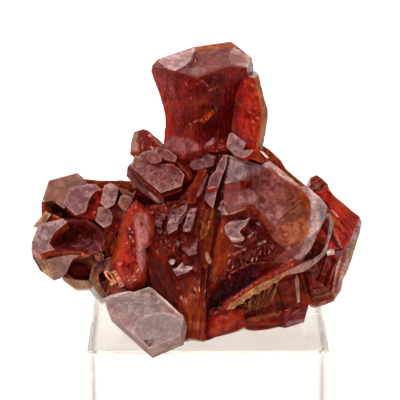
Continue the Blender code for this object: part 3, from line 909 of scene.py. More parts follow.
def tower_foot(skin):
    """A lump with painted glints on the tower's front, and broken pieces at its foot."""
    # Painted pink glints on the lump
    for middle, radii, turn in (
            ((205, 120), (2.6, 0.7), -45), ((213, 110.5), (2.4, 0.6), -20),
            ((210, 116), (2.0, 0.5), -50)):
        skin.dab(middle, radii, "D8A090 A05848", 0.8, turn)
    crystal(skin, "198,122 203,115.5 207,111.5 212,109.5 215.5,111 216,113 211,117 208,121 203,124",
            3.6, (0.0, 0.2), 2.0, "A8481E 6E200F", DARK_RED, hillock((208, 115), (10, 6), 0.4, -40),
            bumps(0.3, 0.9, 1.0), cut=0.7, **WET)
    crystal(skin, "229,134 232,132.5 246,143 243,150 254,150.5 248,156 243.8,158 235,155.5 227,147.4 "
            "226.9,142.5", 5.5, (-0.1, 0.3), 2.6, "A88284 7E5456", RED, pits(0.4, 0.5, 0.1, SMOKE),
            ripples(70, 3, 0.1), seed=5)
    crystal(skin, "244,150 256,149 262,150 269,158.5 262,163 252,159 244,159", 4.7, (0.1, 0.2), 3.4,
            EMBER, RED, finish=GLOSSY, rim="C86A50")
    crystal(skin, "204,138 262,150 266,162 262,176 222,180 200,168", 3.6, (0.0, 0.1), 7.0, DARK_RED,
            DARK_RED, **WET)
    crystal(skin, "218,140 232,138 229,150 214,152 204,150", 4.6, (-0.1, 0.25), 3.0, "8A1E14 5C100C",
            DARK_RED, bumps(0.5, 0.3, 1.0), **WET)
    crystal(skin, "260,151 263,151.5 269,157.5 267,158.5", 5.3, (0.0, 0.4), 1.0, GLINT, RED, wear=0.0)


def tower(skin):
    """The tall waisted crystal on top, and the bright prism along its right side."""
    tower_marks(skin)
    tower_body(skin)
    skin.marks = []
    tower_prism(skin)
    skin.marks = []
    tower_foot(skin)


def upper_left_pair(skin):
    """The stepped crystals left of the tower's foot."""
    skin.stain("129,152 130,143 133,131 138.5,130 137,141 138.5,151", "BC9684 946656", 0.9, 2.5,
            FROSTED)
    skin.dab((149.5, 135.5), (1.8, 0.7), GLINT, 0.8, 30)
    crystal(skin, "134,132 143.5,129 148,130.5 159,143 168,152 140,160 130,154 131,143.5", 1.7,
            (-0.3, 0.25), 6.0, "882612 5E130A", RED, bumps(1.4, 0.2), finish=GLOSSY,
            side_finish=BACKLIT, rim="A8603C")
    skin.marks = []
    skin.dab((139, 161), (1.6, 4.0), "A8805A 825634", 0.75, 20, CRUST)
    skin.dab((170, 166), (12, 2.4), RED, 0.75, 8, GLOSSY)
    skin.dab((176, 171), (5, 3), DARK_RED, 0.6, 30)
    skin.dab((158, 176), (14, 4), "8E3E3A 6C2422", 0.55, 25)
    skin.dab((150, 170), (6, 2), "8E3E3A 6C2422", 0.5, -20)
    crystal(skin, "130.7,166 134.8,155.2 144.5,160.3 154.7,163.9 172,163.9 180.2,169 184.3,175.1 "
            "181.7,185.8 160.8,193 144,178.7", 4.7, (-0.1, 0.26), 0.75, "9E6C6C 7E4242", DARK_RED,
            pits(0.5, 0.45, 0.14, RED), bumps(0.7, 0.25), hollow("152,164 172,165 182,172 176,174 "
            "160,170", 0.25, 3.0, None, 0.3), cut=0.9, side_edge=RED, wear=0.8)
    crystal(skin, "133,168 136,160 156,168 172,168 183,178 181.5,191 161,198 144,184", 4.0,
            (-0.1, 0.26), 3.0, DARK_RED, DARK_RED, finish=GLOSSY, rim="9A3424")
    skin.dab((150, 194), (14, 1.6), DARK_RED, 0.7, 45)
    skin.dab((155, 198), (9, 1.5), "D0A294 9A5E54", 0.9, 45)
    skin.dab((137, 181), (10, 2.2), "6A1C16 46100D", 0.7, 50)
    crystal(skin, "126.4,176 127.5,167 131,163 148,180 164,195.5 163,205.5 156,203 143,193", 3.6,
            (-0.2, 0.2), 4.5, "784240 562220", DARK_RED, ripples(135, 2.2, 0.2, 0.3), rim="9A6660",
            wear=0.7)
    skin.marks = []
    crystal(skin, "155.5,147.5 159,147 169,150 177,157 175,162 166,160 157,154", 4.3, (-0.1, 0.5), 2.6,
            "985E5E 783C3C", RED, pits(0.5, 0.5, 0.14, RED), wear=0.9)
    crystal(skin, "146.5,158 149,153.5 155,152.5 161.5,157 162,161 157,163.2 151,163.2", 4.9,
            (-0.1, 0.4), 2.4, "94585A 743A3A", DARK_RED, hillock((154, 158), (6, 5), 0.3),
            pits(0.5, 0.4, 0.12, RED), rim="B88A86", wear=0.8)
    crystal(skin, "138,156 143,152 152,150 157,154 148,154 144,160", 4.2, (-0.2, 0.3), 3.0, MAUVE,
            DARK_RED, bumps(0.6, 0.2), wear=0.8)
    crystal(skin, "174,157 182,158 190,166 192.5,173 190,180 185,172 178,165", 3.9, (0.3, 0.3), 3.6,
            "96461E 6E2210", RED, ripples(45, 2.0, 0.15, 0.3), finish=GLOSSY, rim="A8683C")
    crystal(skin, "164,150 172,156 183,160 178,165 160,162", 3.6, (0.0, 0.3), 3.0, BLACK_RED, DARK_RED,
            **WET)
    crystal(skin, "141,155 148,152 152,158 149,163 143,161", 4.4, (-0.1, 0.3), 3.0, "8A4A48 602A2A",
            DARK_RED, bumps(0.6, 0.3), rim=None)


def left_upper(skin):
    """The small hexagonal crystals at the top of the left group."""
    glow = "A84E18 7A260E"
    skin.stain("84,184 134,186 134,200 110,226 84,210", "7E1E12 560F0B", 0.85, 5.0)
    skin.dab((129, 190.5), (3.6, 2.0), AMBER, 0.8, 10)
    crystal(skin, "80,178.5 98,180.5 111,180.8 121.5,180.3 131,181.5 136,200 120,222 96,226 82,205",
            1.2, (0.0, 0.25), 4.0, glow, glow, ripples(85, 4, 0.2), finish=BACKLIT, side_finish=BACKLIT,
            rim="C08A4C")
    skin.marks = []
    skin.stain("42,200 49,180 76,173 70,188 62,202 52,202", "9C6A54 7E4A36", 0.75, 9.0)
    skin.dab((59, 193), (3.0, 6.0), "A8704C 8A5236", 0.6, 25)
    skin.dab((75, 179.5), (5.0, 2.0), "A8704C 8A5236", 0.55, -15)
    crystal(skin, "48.8,180.5 77.3,172.9 82.2,176.8 88,184 82,200 63.5,208.5 52,200.4 44.7,202 "
            "42.5,199.7", 2.4, (-0.2, 0.35), 1.3, "96706C 784E4A", BROWN, ripples(-15, 4, 0.06),
            pits(0.1, 0.4, 0.06, BROWN), cut=0.9, wear=0.4, taper=0.95)
    crystal(skin, "45,202 52,201 64,209 80,214 84,219 78,222 60,219 45,217 43,206", 1.2, (-0.2, 0.15),
            4.0, BLACK_RED, BROWN, hollow("47,204 63,209 78,217 62,218 47,213", 0.9, 3.0),
            finish=HOLLOW, rim=None, taper=0.85)
    crystal(skin, "41.5,201 45,202 45,217 41.5,216", 1.4, (-0.4, 0.1), 3.0, EMBER, ORANGE, **WET)
    crystal(skin, "86,190 104,188 104,203 98,207 95,220 79,220.5 66,210 80,200", 3.2, (0.0, 0.15), 4.0,
            RED, EMBER, bumps(0.7, 0.4, 0.7), finish=GLOSSY, rim="B0502E")
    skin.dab((79, 199), (8, 9), "7E4A50 643038", 0.5, 30)
    crystal(skin, "67.9,189.5 78,186.5 88,184 95.6,184.1 102,190 96,191 92,195 88.9,200.2 85.8,211.3 "
            "75.5,215.4 63.5,204.2", 4.4, (-0.05, 0.22), 1.6, "A27A7C 7A5054", EMBER,
            ripples(100, 3, 0.06), pits(0.12, 0.4, 0.07, MAUVE), step("72,191 88,188 94,187 86,200 "
            "82,209 76,211 68,203", -0.06), cut=0.9, rim="D0A8A4", side_edge=ORANGE, wear=0.3)
    crystal(skin, "103.5,188 104.5,185.4 110.4,182.9 114,184.5 118.2,187.2 118,193 114.4,204.2 "
            "106.3,209.1 100.1,202.9 102.3,194.8", 4.7, (0.0, 0.12), 4.0, "B28C86 845650", RED,
            hillock((109, 195), (5, 9), 0.2, 15), ripples(20, 1.8, 0.06), pits(0.2, 0.4, 0.08, MAUVE),
            cut=0.9)
    crystal(skin, "120.2,196.6 123,194.5 130.4,196.5 131.5,201 126.4,210.4 124,211 117.9,204.2", 4.3,
            (0.1, 0.1), 4.0, "A67462 82483A", EMBER, wear=0.7)
    crystal(skin, "97.9,207.8 100.5,206.5 110.4,209.4 113,217.1 111.3,224.3 103.7,228 95.2,220.3", 5.0,
            (0.0, 0.12), 4.5, "AC827E 74443F", EMBER, step("99,209 109,211 111,217 105,222 97,219",
            0.2), step("100,211 106,212 108,216 104,219 99,217", 0.2), ripples(40, 2.0, 0.12),
            pits(0.2, 0.4, 0.1, MAUVE), cut=0.9)
    crystal(skin, "112,204 119,205 126,211 123,224 114,236 108,234 104,229 112,224", 3.8, (0.0, 0.1),
            3.0, DARK_RED, BROWN, bumps(0.7, 0.3), finish=GLOSSY, rim="A04A20")
    crystal(skin, "104,229 114,233 117,240 114,254 106,256 101,240", 4.1, (-0.1, 0.1), 3.0,
            "8E3C1A 5A1A0D", BROWN, ripples(20, 3, 0.3), finish=GLOSSY, rim="B8744A")
    crystal(skin, "118,187 126,190 132.7,193.5 136,190.5 132,203 126.5,216 122,224 122.5,212 127,203 "
            "129,197 121,193", 4.0, (0.1, 0.1), 3.5, "7E5A4C 5E382C", BROWN, rim="A08064", wear=0.8)


def left_hopper(skin):
    """The big hopper crystal with the dark ribbed hollow, and its pale rim."""
    crystal(skin, "45.6,210.9 51.4,214.5 46.5,221 43.4,226.5 32.6,227", 3.2, (-0.4, 0.1), 5.0, TAN,
            BROWN, ripples(45, 2.2, 0.2, 0.4), finish=CRUST)
    crystal(skin, "52,214 58,216 62,219 50,222 44,225", 3.2, (-0.2, 0.2), 3.0, EMBER, RED, **WET)
    rim_shape = ("38.8,224.4 52,221.2 62.6,218.4 67.1,222.6 62.1,226.2 54.1,232.9 49.2,243.6 55,249.4 "
            "49.2,250.7 39.4,254 31.2,250.2 31.6,242.5 34.8,233.6")
    crystal(skin, rim_shape, 5.2, (-0.12, 0.42), 1.6, "B49A9C 866668", EMBER, bumps(0.6, 0.35),
            pits(0.4, 0.5, 0.12, MAUVE), cut=0.9, rim="E0A898", seed=8)
    skin.stain("48,226 66,218 86,216 102,228 107,242 100,254 84,257 58,256 46,246", "6C2420 44100F",
            0.9, 6.0)
    skin.dab((88, 245), (13, 6), "94505A 5E2026", 0.75, -15)
    # Painted pink glints on the ridges of the hollow
    for middle, radii, turn in (
            ((84, 240), (6, 0.7), 20), ((90, 247), (5, 0.6), -30), ((96, 240), (6, 0.6), 70),
            ((76, 246), (5, 0.6), 5), ((100, 247), (4, 0.6), 80), ((66, 242), (4, 0.5), -40)):
        skin.dab(middle, radii, "BC8688 7E4044", 0.8, turn)
    crystal(skin, "50,222 66,219 84,217.5 101,228 106,240 104,252 90,257 55,259 42,254 46,236", 4.4,
            (-0.1, 0.3), 5.5, BLACK_RED, BROWN, hollow("54,224 84,219 99,229 104,241 98,252 82,254 "
            "56,251 49,243 51,233", 2.6, 16.0, "742622 440F10", 0.35), bumps(0.45, 0.25, 1.2,
            "64,240 98,234 102,248 84,254 62,250"), finish=HOLLOW, cut=1.0, rim="6A3018", taper=0.5)


def small_hoppers(skin):
    """The smaller hopper crystals below and beside it."""
    crystal(skin, "38,254 50,250.5 60,251 82,251.5 90,256 84,259 62,258 46,261", 5.0, (-0.1, 0.2), 4.0,
            "8A3A1E 5E1A10", BROWN, ripples(85, 2.5, 0.2), finish=GLOSSY, rim="9A5A38")
    crystal(skin, "46.1,260.1 57,257.2 70.6,254.7 80.4,255.2 74,258.2 71,262 65.7,273.5 60.8,278.4 "
            "53.7,280.8", 5.2, (-0.1, -0.2), 4.6, "9A786C 7E5C50", BROWN, bumps(0.9, 0.06),
            rim="B89878", wear=0.3)
    crystal(skin, "31.4,250 39,254 46,260 54,281 39.8,270.4 32.8,258", 3.8, (-0.5, -0.3), 3.2, TAN,
            BROWN, ripples(-30, 1.5, 0.25, 0.25, None, BROWN), bumps(0.4, 0.15, 0.6), finish=CRUST)
    skin.stain("62,277 74,279.5 91,281 93,289 75,290 60,280", "AE9070 8C6A4C", 0.9, 1.5, CRUST)
    skin.stain("80,256 98,256 104,270 93,271", BROWN, 0.85, 2.0)
    crystal(skin, "70,257 82,254 95,255 103,266 96,284 91,288.3 75,288.3 62,278.5 66,268", 4.3,
            (0.0, 0.1), 4.2, BROWN, BROWN, hollow("73,261 84,262 91.6,271.3 89.4,280.6 75,279.7 "
            "66.5,273.5", 2.2, 3.0, "7A1A10 460A0A", 0.05), ripples(-42, 2.6, 0.5, 0.3,
            "80,254 96,254 106,268 92,272 82,262"), cut=1.0, **WET)
    skin.marks = []
    skin.stain("88,279 91,275 104,293 107,300 100,298", "8A6A4C 664830", 0.9, 1.5, CRUST)
    skin.stain("96,262 110,257 112,266 106,270 98,273", MAUVE, 0.8, 3.0)
    crystal(skin, "90.2,274 93,266 97,261.5 110.6,256.6 115,268 113,285 108,295 105,300 96,291 "
            "89.5,281", 5.7, (0.1, 0.15), 4.6, "97694C 6E3A24", BROWN, hollow("98,274 104,270 111,278 "
            "106,294 100,284", 1.8, 3.0, "6E2410 33080A", 0.1), ripples(30, 2.5, 0.2), finish=GLOSSY,
            cut=1.0, rim="B89878")
    crystal(skin, "94.5,256 97,253 100.5,252.5 104,255 103.6,260 100,262 95.5,260.5", 6.3, (0.0, 0.1),
            2.6, "A4745C 7C4630", BROWN, bumps(0.35, 0.6, 1.0), rim=None)
    crystal(skin, "99,283 110,279 119,288 114,298 104,298.5", 5.0, (0.0, 0.2), 3.5, "7A2018 54120E",
            DARK_RED, **WET)


def curled_plates(skin):
    """The thin bright plates that curl round the small hoppers."""
    # The curls' pale orange is their own colour made brighter as a painted glow of light through the
    # thin plates
    curl = "E4A684 C26A40"
    crystal(skin, "103.5,272 106,270.2 109.5,272 113.5,277 117,282 115,285 110,281.5 106,277", 6.7,
            (-0.1, 0.2), 2.2, curl, ORANGE, hollow("105.5,272.5 108,272.3 112,277 114,281 109,278", 0.7,
            1.2, EMBER, 0.0), finish=GLOSSY, cut=0.8)
    crystal(skin, "113,272 115,269.6 118,270.2 121,277 124.5,286 120,288 117,281", 6.9, (0.0, 0.2), 2.4,
            curl, ORANGE, ripples(70, 1.6, 0.25, 0.3), finish=GLOSSY, cut=0.8)
    crystal(skin, "109,283 113,282 120,286 126,292 118,296 110,296 111,288", 6.6, (0.0, 0.2), 3.0,
            "B4685A 8E3A30", RED, bumps(0.6, 0.3), **WET)
    # A tiny crystal painted as a yellow glint
    crystal(skin, "109.5,283.5 112.5,282 114.5,284 111,285.5", 7.2, (0.0, 0.3), 0.8, "F0D880 D8A848",
            AMBER, cut=0.8)


def left_lower(skin):
    """The hopper crystals at the bottom of the left group."""
    left_hopper(skin)
    skin.marks = []
    small_hoppers(skin)
    curled_plates(skin)


def long_red_crystal(skin):
    """The glossy lengthwise crystal left of the middle, with a raised back."""
    edge = ("136.5,199.5 146,208 151,214 155,225 154,235 152,242 146,249 148,258 147,272 145,286 "
            "133.5,292.5 125.5,289 118,278 111.5,267 111.2,260 116,247 117.5,237 121,224 127,211")
    crest = ("137,204 143,211 146,216 149,226 148.5,234 147,240 141.5,249 143,258 142,271 140,282 "
            "133,287 127,283 121,275 116,266 116,259 121,247 122,237 126,226 131,213")
    wet = "C03622 8E1A12"
    # The second stain is a painted glow of light through the right edge
    for outline, tint, strength, soft in (
            ("134,222 137,213 146,213 150,224 149,238 146,249 146,262 142,274 138,264 136,248 137,240",
             "C48C88 9E625E", 0.9, 2.5),
            ("150,222 155,225 152,242 147,250 148,258 146,285 142,284 145,262 146,248 150,238",
             "B04A20 8A2210", 0.85, 2.0),
            ("124,266 138,266 142,276 138,288 128,288 120,278", "C06A5E 962E28", 0.6, 6.0),
            ("118,236 124,224 130,212 133,214 126,232 122,246 115,264 111,264 116,246", "B86430 943818",
             0.7, 2.5)):
        skin.stain(outline, tint, strength, soft)
    skin.dab((142, 224), (2, 2), wet, 0.8)
    skin.dab((138, 230), (5, 2), "C09090 965E5C", 0.6, 60)
    for middle, radii, turn in (
            ((129.5, 229), (2.0, 0.9), 70), ((132, 232), (1.4, 0.7), 20), ((130, 237), (2.4, 0.8), 60),
            ((127, 243), (1.6, 0.6), -30), ((133, 241), (1.6, 0.6), 80), ((138, 270), (2.2, 0.8), -50),
            ((134, 276), (1.6, 0.7), 30), ((128, 281), (2.0, 0.8), 60), ((135, 280), (2.0, 0.7), -20),
            ((136, 207), (2.0, 0.5), -60), ((131, 214), (2.0, 0.5), -65),
            ((139, 250), (1.6, 0.6), -60)):
        skin.dab(middle, (radii[0] * 0.8, radii[1] * 0.6), GLINT, 0.85, turn)
    rings = [[(*spot, out) for spot in corners(shape)]
             for shape, out in ((crest, 7.4), (edge, 6.2), (edge, 4.5), (edge, 1.0))]
    side = look(wet, pitch=0.4, depth=0.1, rough=0.2)
    features = [bumps(0.7, 0.4, 0.7), hillock((126, 240), (8, 9), 0.3),
                hillock((132, 280), (8, 6), 0.3), ripples(5, 6, 0.2)]
    loft(skin, rings, [side] * len(rings[0]), features, wet, GLOSSY, cut=1.0, layers=5, seed=51,
         rim=None)


def foot_crystal(skin):
    """The clean forward crystal whose tip hangs over the block's front edge."""
    crystal(skin, "120,296 150,292 168,306 178,318 170,328 140,322 112,306", 9.8, (-0.1, -0.12), 8.0,
            DARK_RED, DARK_RED, cut=COARSE, **WET)
    skin.stain("158,302 170,305 182,317 178,324 168,314", PINK, 0.65, 5.0)
    skin.stain("107,304 120,304 150,340 148,347 107,311", "AE8C8A 92686A", 0.5, 4.0)
    skin.stain("166,331 182,326 181,336 160,342", "B58A8A A07070", 0.5, 4.0)
    # A pale oval round the low rise and a darker one inside it: painted light and shade of the rise
    skin.dab((157, 327.5), (25, 15), "C8B8B4 AE9C9A", 0.7, -8, soft=1.5)
    skin.dab((158.5, 328.5), (23.5, 13.8), "9A8A88 867674", 0.85, -8, soft=2.0)
    # Rings of growth round the low rise at the tip
    for number in range(6):
        width = 21 - 3.3 * number
        ring = "8C7C7A 7A6A6A" if number % 2 else "AA9A98 968684"
        skin.dab((158.5, 328.5), (width, width * 0.6), ring, 0.4, -8, soft=1.6)
    # Painted highlights along two edges
    for start, end in (((152, 288), (182, 317)), ((104, 299), (130, 291))):
        middle = ((start[0] + end[0]) / 2, (start[1] + end[1]) / 2)
        reach = math.hypot(end[0] - start[0], end[1] - start[1]) / 2
        turn = math.degrees(math.atan2(end[1] - start[1], end[0] - start[0]))
        skin.dab(middle, (reach, 1.1), "F0E6E2 CDB8B4", 0.9, turn)
    skin.dab((152, 294), (2.2, 1.2), RED, 0.8, 40)
    skin.dab((132.7, 332.8), (1.4, 1.0), GLINT, 0.95)
    chip = "142.5,340.5 147,339 154.5,341 152,344 149.5,347.8"
    crystal(skin, "103.4,298.9 110.3,294.9 128.7,290.9 133.9,292 148.8,286.9 151.7,288 168.9,303 "
            "183.8,316.7 180.2,335.4 149,348.9 129,331 108,312.1", 10.8, (-0.15, 0.48), 2.3, FOOT_GREY,
            "A58E88 86695F", ripples(92, 1.7, 0.07, 0.35), hillock((158, 328), (25, 15), 0.28, -8),
            step("103,299 128,291 151,290 166,303 150,309 133,317 124,314 110,305", 0.07, edge=1.5),
            pits(0.35, 0.4, 0.1, PINK, "156,300 172,304 184,318 176,326 164,316"),
            pits(0.06, 0.35, 0.08, RED), hollow(chip, 0.35, 1.5, "7A1C22 4A0A10", 0.25, GLOSSY),
            side_finish=FROSTED, cut=0.9, rim="D9C4BC", side_edge=FOOT_GREY, lines=0.05, wear=0.15)


def fan_wall(skin):
    """The ridged wall, whose rays spread from below it."""
    dark = "862214 5C100B"
    amber = "B0581A 8A300F"
    skin.stain("160,280 176,262 190,268 200,290 204,341 186,341 178,326", "8C2A14 661A0C", 0.75, 9.0)
    skin.stain("182,296 192,278 200,284 205,300 205,341 188,341 183,320", "9A3C14 74220B", 0.8, 9.0)
    # Dark lines: painted shade in the grooves between the rays; amber lines: painted highlights along
    # the rays
    for middle, reach, turn, tint in (
            ((201, 288), 34, 96, BLACK_RED), ((194, 300), 26, 94, BLACK_RED),
            ((205, 262), 22, 100, BLACK_RED), ((186, 312), 20, 82, DARK_RED),
            ((176, 296), 22, 66, DARK_RED), ((190, 318), 12, 92, amber), ((182, 314), 12, 78, amber),
            ((198, 322), 12, 94, amber)):
        skin.dab(middle, (reach, 1.2), tint, 0.7, turn, soft=0.9)
    skin.stain("150,262 160,258 176,290 184,326 176,330 152,292", "54161A 340A0C", 0.7, 8.0)
    skin.stain("206,236 214,210 219,212 214,240 206,270 202,262", amber, 0.7, 4.0)
    skin.stain("188,244 194,222 202,204 206,206 199,232 193,258", "96401E 6E1E0E", 0.6, 5.0)
    skin.dab((190, 305), (6, 10), amber, 0.55, 0)
    crystal(skin, "146,206 160,203 178,200 194,180 204,168 214,170 224,158 226.5,160 221,184 218,208 "
            "213,238 208,264 206,300 205,341 190,338.5 184,341 176,320 152,290 146,258 154,235", 5.0,
            (0.06, 0.2), 5.0, dark, DARK_RED, rays((198, 356), 4.5, 0.4), bumps(1.6, 0.3, 0.3),
            bumps(0.6, 0.25, 0.8, "150,205 200,180 214,215 190,262 158,262"), cut=1.0, **WET)


def fan_plates(skin):
    """The frosted slabs and blades that grow on the wall."""
    crystal(skin, "189,165 193,158 200,154.5 208,153.5 216,156 214,166 203,169 193,170", 4.6,
            (-0.1, 0.3), 3.6, "83525A 5C262B", DARK_RED, bumps(0.8, 0.25, 0.6), rim=None, wear=0.8)
    crystal(skin, "198.5,170 207,169.5 202,182 195,203 186,205 190,190", 4.9, (-0.3, 0.1), 4.0,
            "8A3018 66160D", RED, ripples(15, 3, 0.2, 0.3), finish=GLOSSY, rim="9A5030")
    crystal(skin, "206.5,174 208.5,174 203,190 198.5,197 196.5,196", 5.2, (0.1, 0.2), 3.0, MAUVE,
            DARK_RED, rim=None)
    skin.stain("205,187.5 219,186 218,192 204,193.5", "8A2620 6A1410", 0.8, 2.5, GLOSSY)
    crystal(skin, "227.5,154.5 226.5,165 222,176.5 217,191 213,209 204.5,199.4 208,184 210.5,176 "
            "215.5,171 219.5,161 223,156", 5.8, (-0.1, 0.15), 4.0, "926468 6A3639", DARK_RED,
            ripples(75, 3, 0.12, 0.3), pits(0.25, 0.45, 0.1, RED), cut=0.9)
    skin.marks = []
    slab = "AC8684 6E4040"
    small = "7E5056 54242A"
    for outline, out, tint in (
            ("171.3,210.6 176.3,208.8 182,206 187.4,202.5 186.2,211.5 180.3,216.9 178.5,224 177,229.5 "
             "168.7,234 166.4,227.6 168.7,219.1", 6.1, slab),
            ("188,211 190.5,208.5 196.8,208.2 194.5,218 191.9,228.5 190,232 183.2,231.5 182.9,227 "
             "186,219", 6.2, slab),
            ("184,207 188,206 186,215 180.5,224 178.5,222", 5.9, MAUVE),
            ("181.2,248.1 190.5,246.8 197.7,239.5 196.8,253.5 188.8,256", 6.5, "8E5C5E 602E30"),
            ("224.5,196 223,203 222,211.5 217.5,209", 5.9, slab),
            ("155,221 160,218 163,221 161,228 156,226", 5.8, small),
            ("161,213 166,214 165,220 161,219", 5.7, small),
            ("157,229 163,230 161,234 158,233", 5.6, small),
            ("177,240 180,243 178,248 176,245", 6.3, small)):
        crystal(skin, outline, out, (-0.1, 0.3), 2.4, tint, DARK_RED, pits(0.8, 0.4, 0.2, DARK_RED),
                ripples(60, 2, 0.2), bumps(0.4, 0.2), cut=0.8, rim=None)
    crystal(skin, "205.5,209 215,208 212,222 206.5,235 201,240 200,234", 5.9, (0.1, 0.15), 3.5,
            "94481E 6C200F", BROWN, bumps(0.7, 0.25), ripples(15, 3, 0.2), finish=GLOSSY, rim="A8683C")
    # Painted mauve glints on the dark crystal below
    skin.dab((152.5, 270), (5, 1.2), "A87478 6E3A40", 0.8, 65)
    skin.dab((157, 284), (5, 1.4), "94606A 5E2E34", 0.8, 60)
    crystal(skin, "146,262 150,257 156,262 161,276 166,292 160,297 151,291 146,280", 4.9, (0.1, 0.2),
            3.5, "7A3A3E 4A181C", DARK_RED, bumps(0.7, 0.4, 0.8), ripples(-20, 3, 0.2, 0.4), **WET)
    skin.marks = []
    # Bright broken plates below the middle
    for outline, tint in (
            ("172.4,268.9 177,267.5 182.1,262.5 184.5,265.5 192.8,266.8 192.5,268.6 187.3,272.4 "
             "177,276.3", "CDB2B2 7E5254"),
            ("168.5,261 171,258.8 175.5,260 174,264.5 170.5,265", "C0A6A8 7A4448")):
        crystal(skin, outline, 6.9, (-0.1, 0.4), 2.6, tint, DARK_RED, bumps(0.45, 0.4, 1.2), cut=0.8)
    crystal(skin, "171,262.5 172.5,261.8 173.6,263.5 172,264.8", 7.2, (0.0, 0.4), 0.8, GLINT, DARK_RED,
            cut=0.8, wear=0.0)
    crystal(skin, "205,253 208,252 212,262 209.5,264.5 206,260", 6.6, (0.0, 0.2), 1.6, "A87858 84482C",
            BROWN)


def middle_fan(skin):
    """The ridged wall left of the middle groove, with the small plates that grow on it."""
    fan_wall(skin)
    skin.marks = []
    fan_plates(skin)


PLATE_BODY = ("228,155 240,159 261,165 268.9,160.2 279,168 289.8,177 301,186.7 307.7,185.7 313.8,192.3 "
              "322.4,199 327.5,207 325.5,218 318,233 311.5,248 307,254 300,260 292.9,263.8 272,262 "
              "250,264 232,273 216,285 208,300 205,296 209,262 214,236 219,208 222,182")
PLATE_DISH = ("240,181 254,171 265.8,166.8 280.6,180.1 298,187.8 306.1,193.4 311.2,201 311.7,208.7 "
              "310.7,221.4 306.8,236.2 296,246 284,248 272,242 262,226 240,207")
PLATE_TOP = ("227.5,155 236.5,159.4 248,162 261,165 266,170 258,177 249.7,176.4 245.4,178.5 "
             "238.3,182.3 233.4,180.7 222.5,183 222.8,175 225,166")
PLATE_INNER = ("222,192 236,190.5 248,187 256,190 262,198 260,206 250.4,206.4 245.4,208.4 236,212 "
               "228.5,214.4 225.8,212 221,200")
PLATE_LOBE = ("274.6,231.3 278.2,225.4 285,221 292,217.9 304.1,213.4 310.8,222.3 309,230 306.3,236.6 "
              "299,241.5 292.9,244.6 283.6,245.8 276.4,240.2")
PLATE_BELOW = ("219,214 228.5,215 250,208 260,216 268,230 276,242 286,250 272,262 250,264 232,273 "
               "208,302 202,298 212,240")


def plate_shoulder(skin):
    """The amber crystal behind the plate's upper right."""
    crystal(skin, "262,145 270,150 281,160.5 286,169 293.4,175.5 307,186.5 303,205 262,190 250,165",
            1.8, (0.2, 0.2), 3.5, "A0481A 6A1A0C", EMBER, ripples(40, 4, 0.2), finish=GLOSSY,
            rim=AMBER_RIM, side_edge=AMBER)


def plate_marks(skin):
    """Stains from the upper left, round the dish, to the rim and the part below, and painted highlights
    and glints.
    """
    for outline, tint, strength, soft in (
            ("246,162 262,165 268,172 256,184 246,180", "6E4A50 52292D", 0.8, 7.0),
            ("248,176 258,170 270,168 296,186 304,200 300,222 284,212 262,205 250,192", "AC6C66 7C423E",
             0.95, 7.0),
            ("284,180 300,190 306,204 305,232 292,218 284,200", "A66850 7E4230", 0.8, 7.0),
            ("262,166 274,168 300,188 296,192 274,176", "96422A 6E2216", 0.7, 3.5),
            ("221,183 240,181 252,180 254,187 238,191 221,193", "8A2620 5C1210", 0.95, 2.5),
            ("222,191 236,191 240,200 232,206 222,202", "94342C 6E1C18", 0.7, 5.0),
            ("250,196 262,194 270,206 256,207", "94544E 6A302C", 0.6, 6.0),
            ("256,204 276,203 285,209 284,219 272,229 262,218", "C08C88 905654", 0.9, 4.0),
            ("299,186 307,194 309.5,206 307,238 301,242 304,216 299,200", "A85A2A 84381A", 0.9, 4.0),
            (PLATE_LOBE, "BC7A5A 904C30", 0.95, 5.0),
            ("286,206 304,208 306,218 292,222 280,224", "925E44 70402C", 0.6, 5.0),
            (PLATE_BELOW, "842A16 561009", 0.97, 2.5),
            ("214,240 222,222 229,222 233,240 233,254 222,270 210,290 205,292 209,262", "9A3C12 72200B",
             0.85, 4.0),
            ("232,228 246,242 248,254 236,264 224,276 230,252", "6E1C16 48110D", 0.8, 4.0),
            ("240,222 256,214 268,230 262,240 246,236", "56161A 370A0C", 0.85, 6.0),
            ("244,244 262,238 282,250 272,260 248,264 232,270", "682020 44100F", 0.8, 6.0),
            ("227,212 245,206 252,205 262,212 276,229 272,232 258,217 250,210 230,216", "A84A20 7C2812",
             0.85, 2.5),
            ("274,242 288,248 304,240 311,237 306,249 294,260 284,266 262,266", "822A1E 58140F", 0.95,
             5.0),
            ("318,202 329,207 329.5,224 318,240 320,222", "948A8C 72625F", 0.85, 3.0),
            ("308,238 318,232 320,238 306,258 292,265 300,252", "A08078 74463E", 0.85, 3.5)):
        skin.stain(outline, tint, strength, soft)
    # Painted shade along the groove between the wall and the plate
    skin.stain("228,153 230,157 225.5,183 222,210 216.5,238 211.5,264 208.5,302 203,300 207,262 "
            "212,236 217,208 220,182", "4A0E0B 300707", 0.95, 2.2, GLOSSY)
    # Painted highlights along the pale ridge
    skin.dab((279, 171), (8, 1.6), SALMON, 0.8, 40)
    skin.dab((291, 180.5), (8, 1.6), PALE, 0.9, 36)
    skin.dab((273, 167), (7, 1.2), PALE, 0.8, 42)
    skin.dab((282, 176), (7, 0.8), GLINT, 0.8, 40)
    # Painted glints
    for spot, size, turn in (
            ((286, 235), (2.6, 1.0), -25), ((284, 239.5), (1.6, 0.8), 10),
            ((261, 243), (5.0, 1.2), -25), ((242, 250.5), (4.5, 0.9), -25),
            ((270, 248), (4.0, 1.2), -45), ((258, 224), (2.0, 0.6), 30), ((293, 262), (4.0, 1.2), -25),
            ((238, 211), (8.5, 0.9), -20), ((270, 214), (5.0, 0.7), 35), ((279, 206), (4.0, 0.6), 20),
            ((238, 246), (4.5, 0.7), 12), ((235, 254), (4.0, 0.6), -30), ((250, 236), (3.5, 0.7), -35),
            ((229, 262), (3.0, 0.6), -60)):
        skin.dab(spot, size, "DDB8AE A8746C", 0.7, turn)


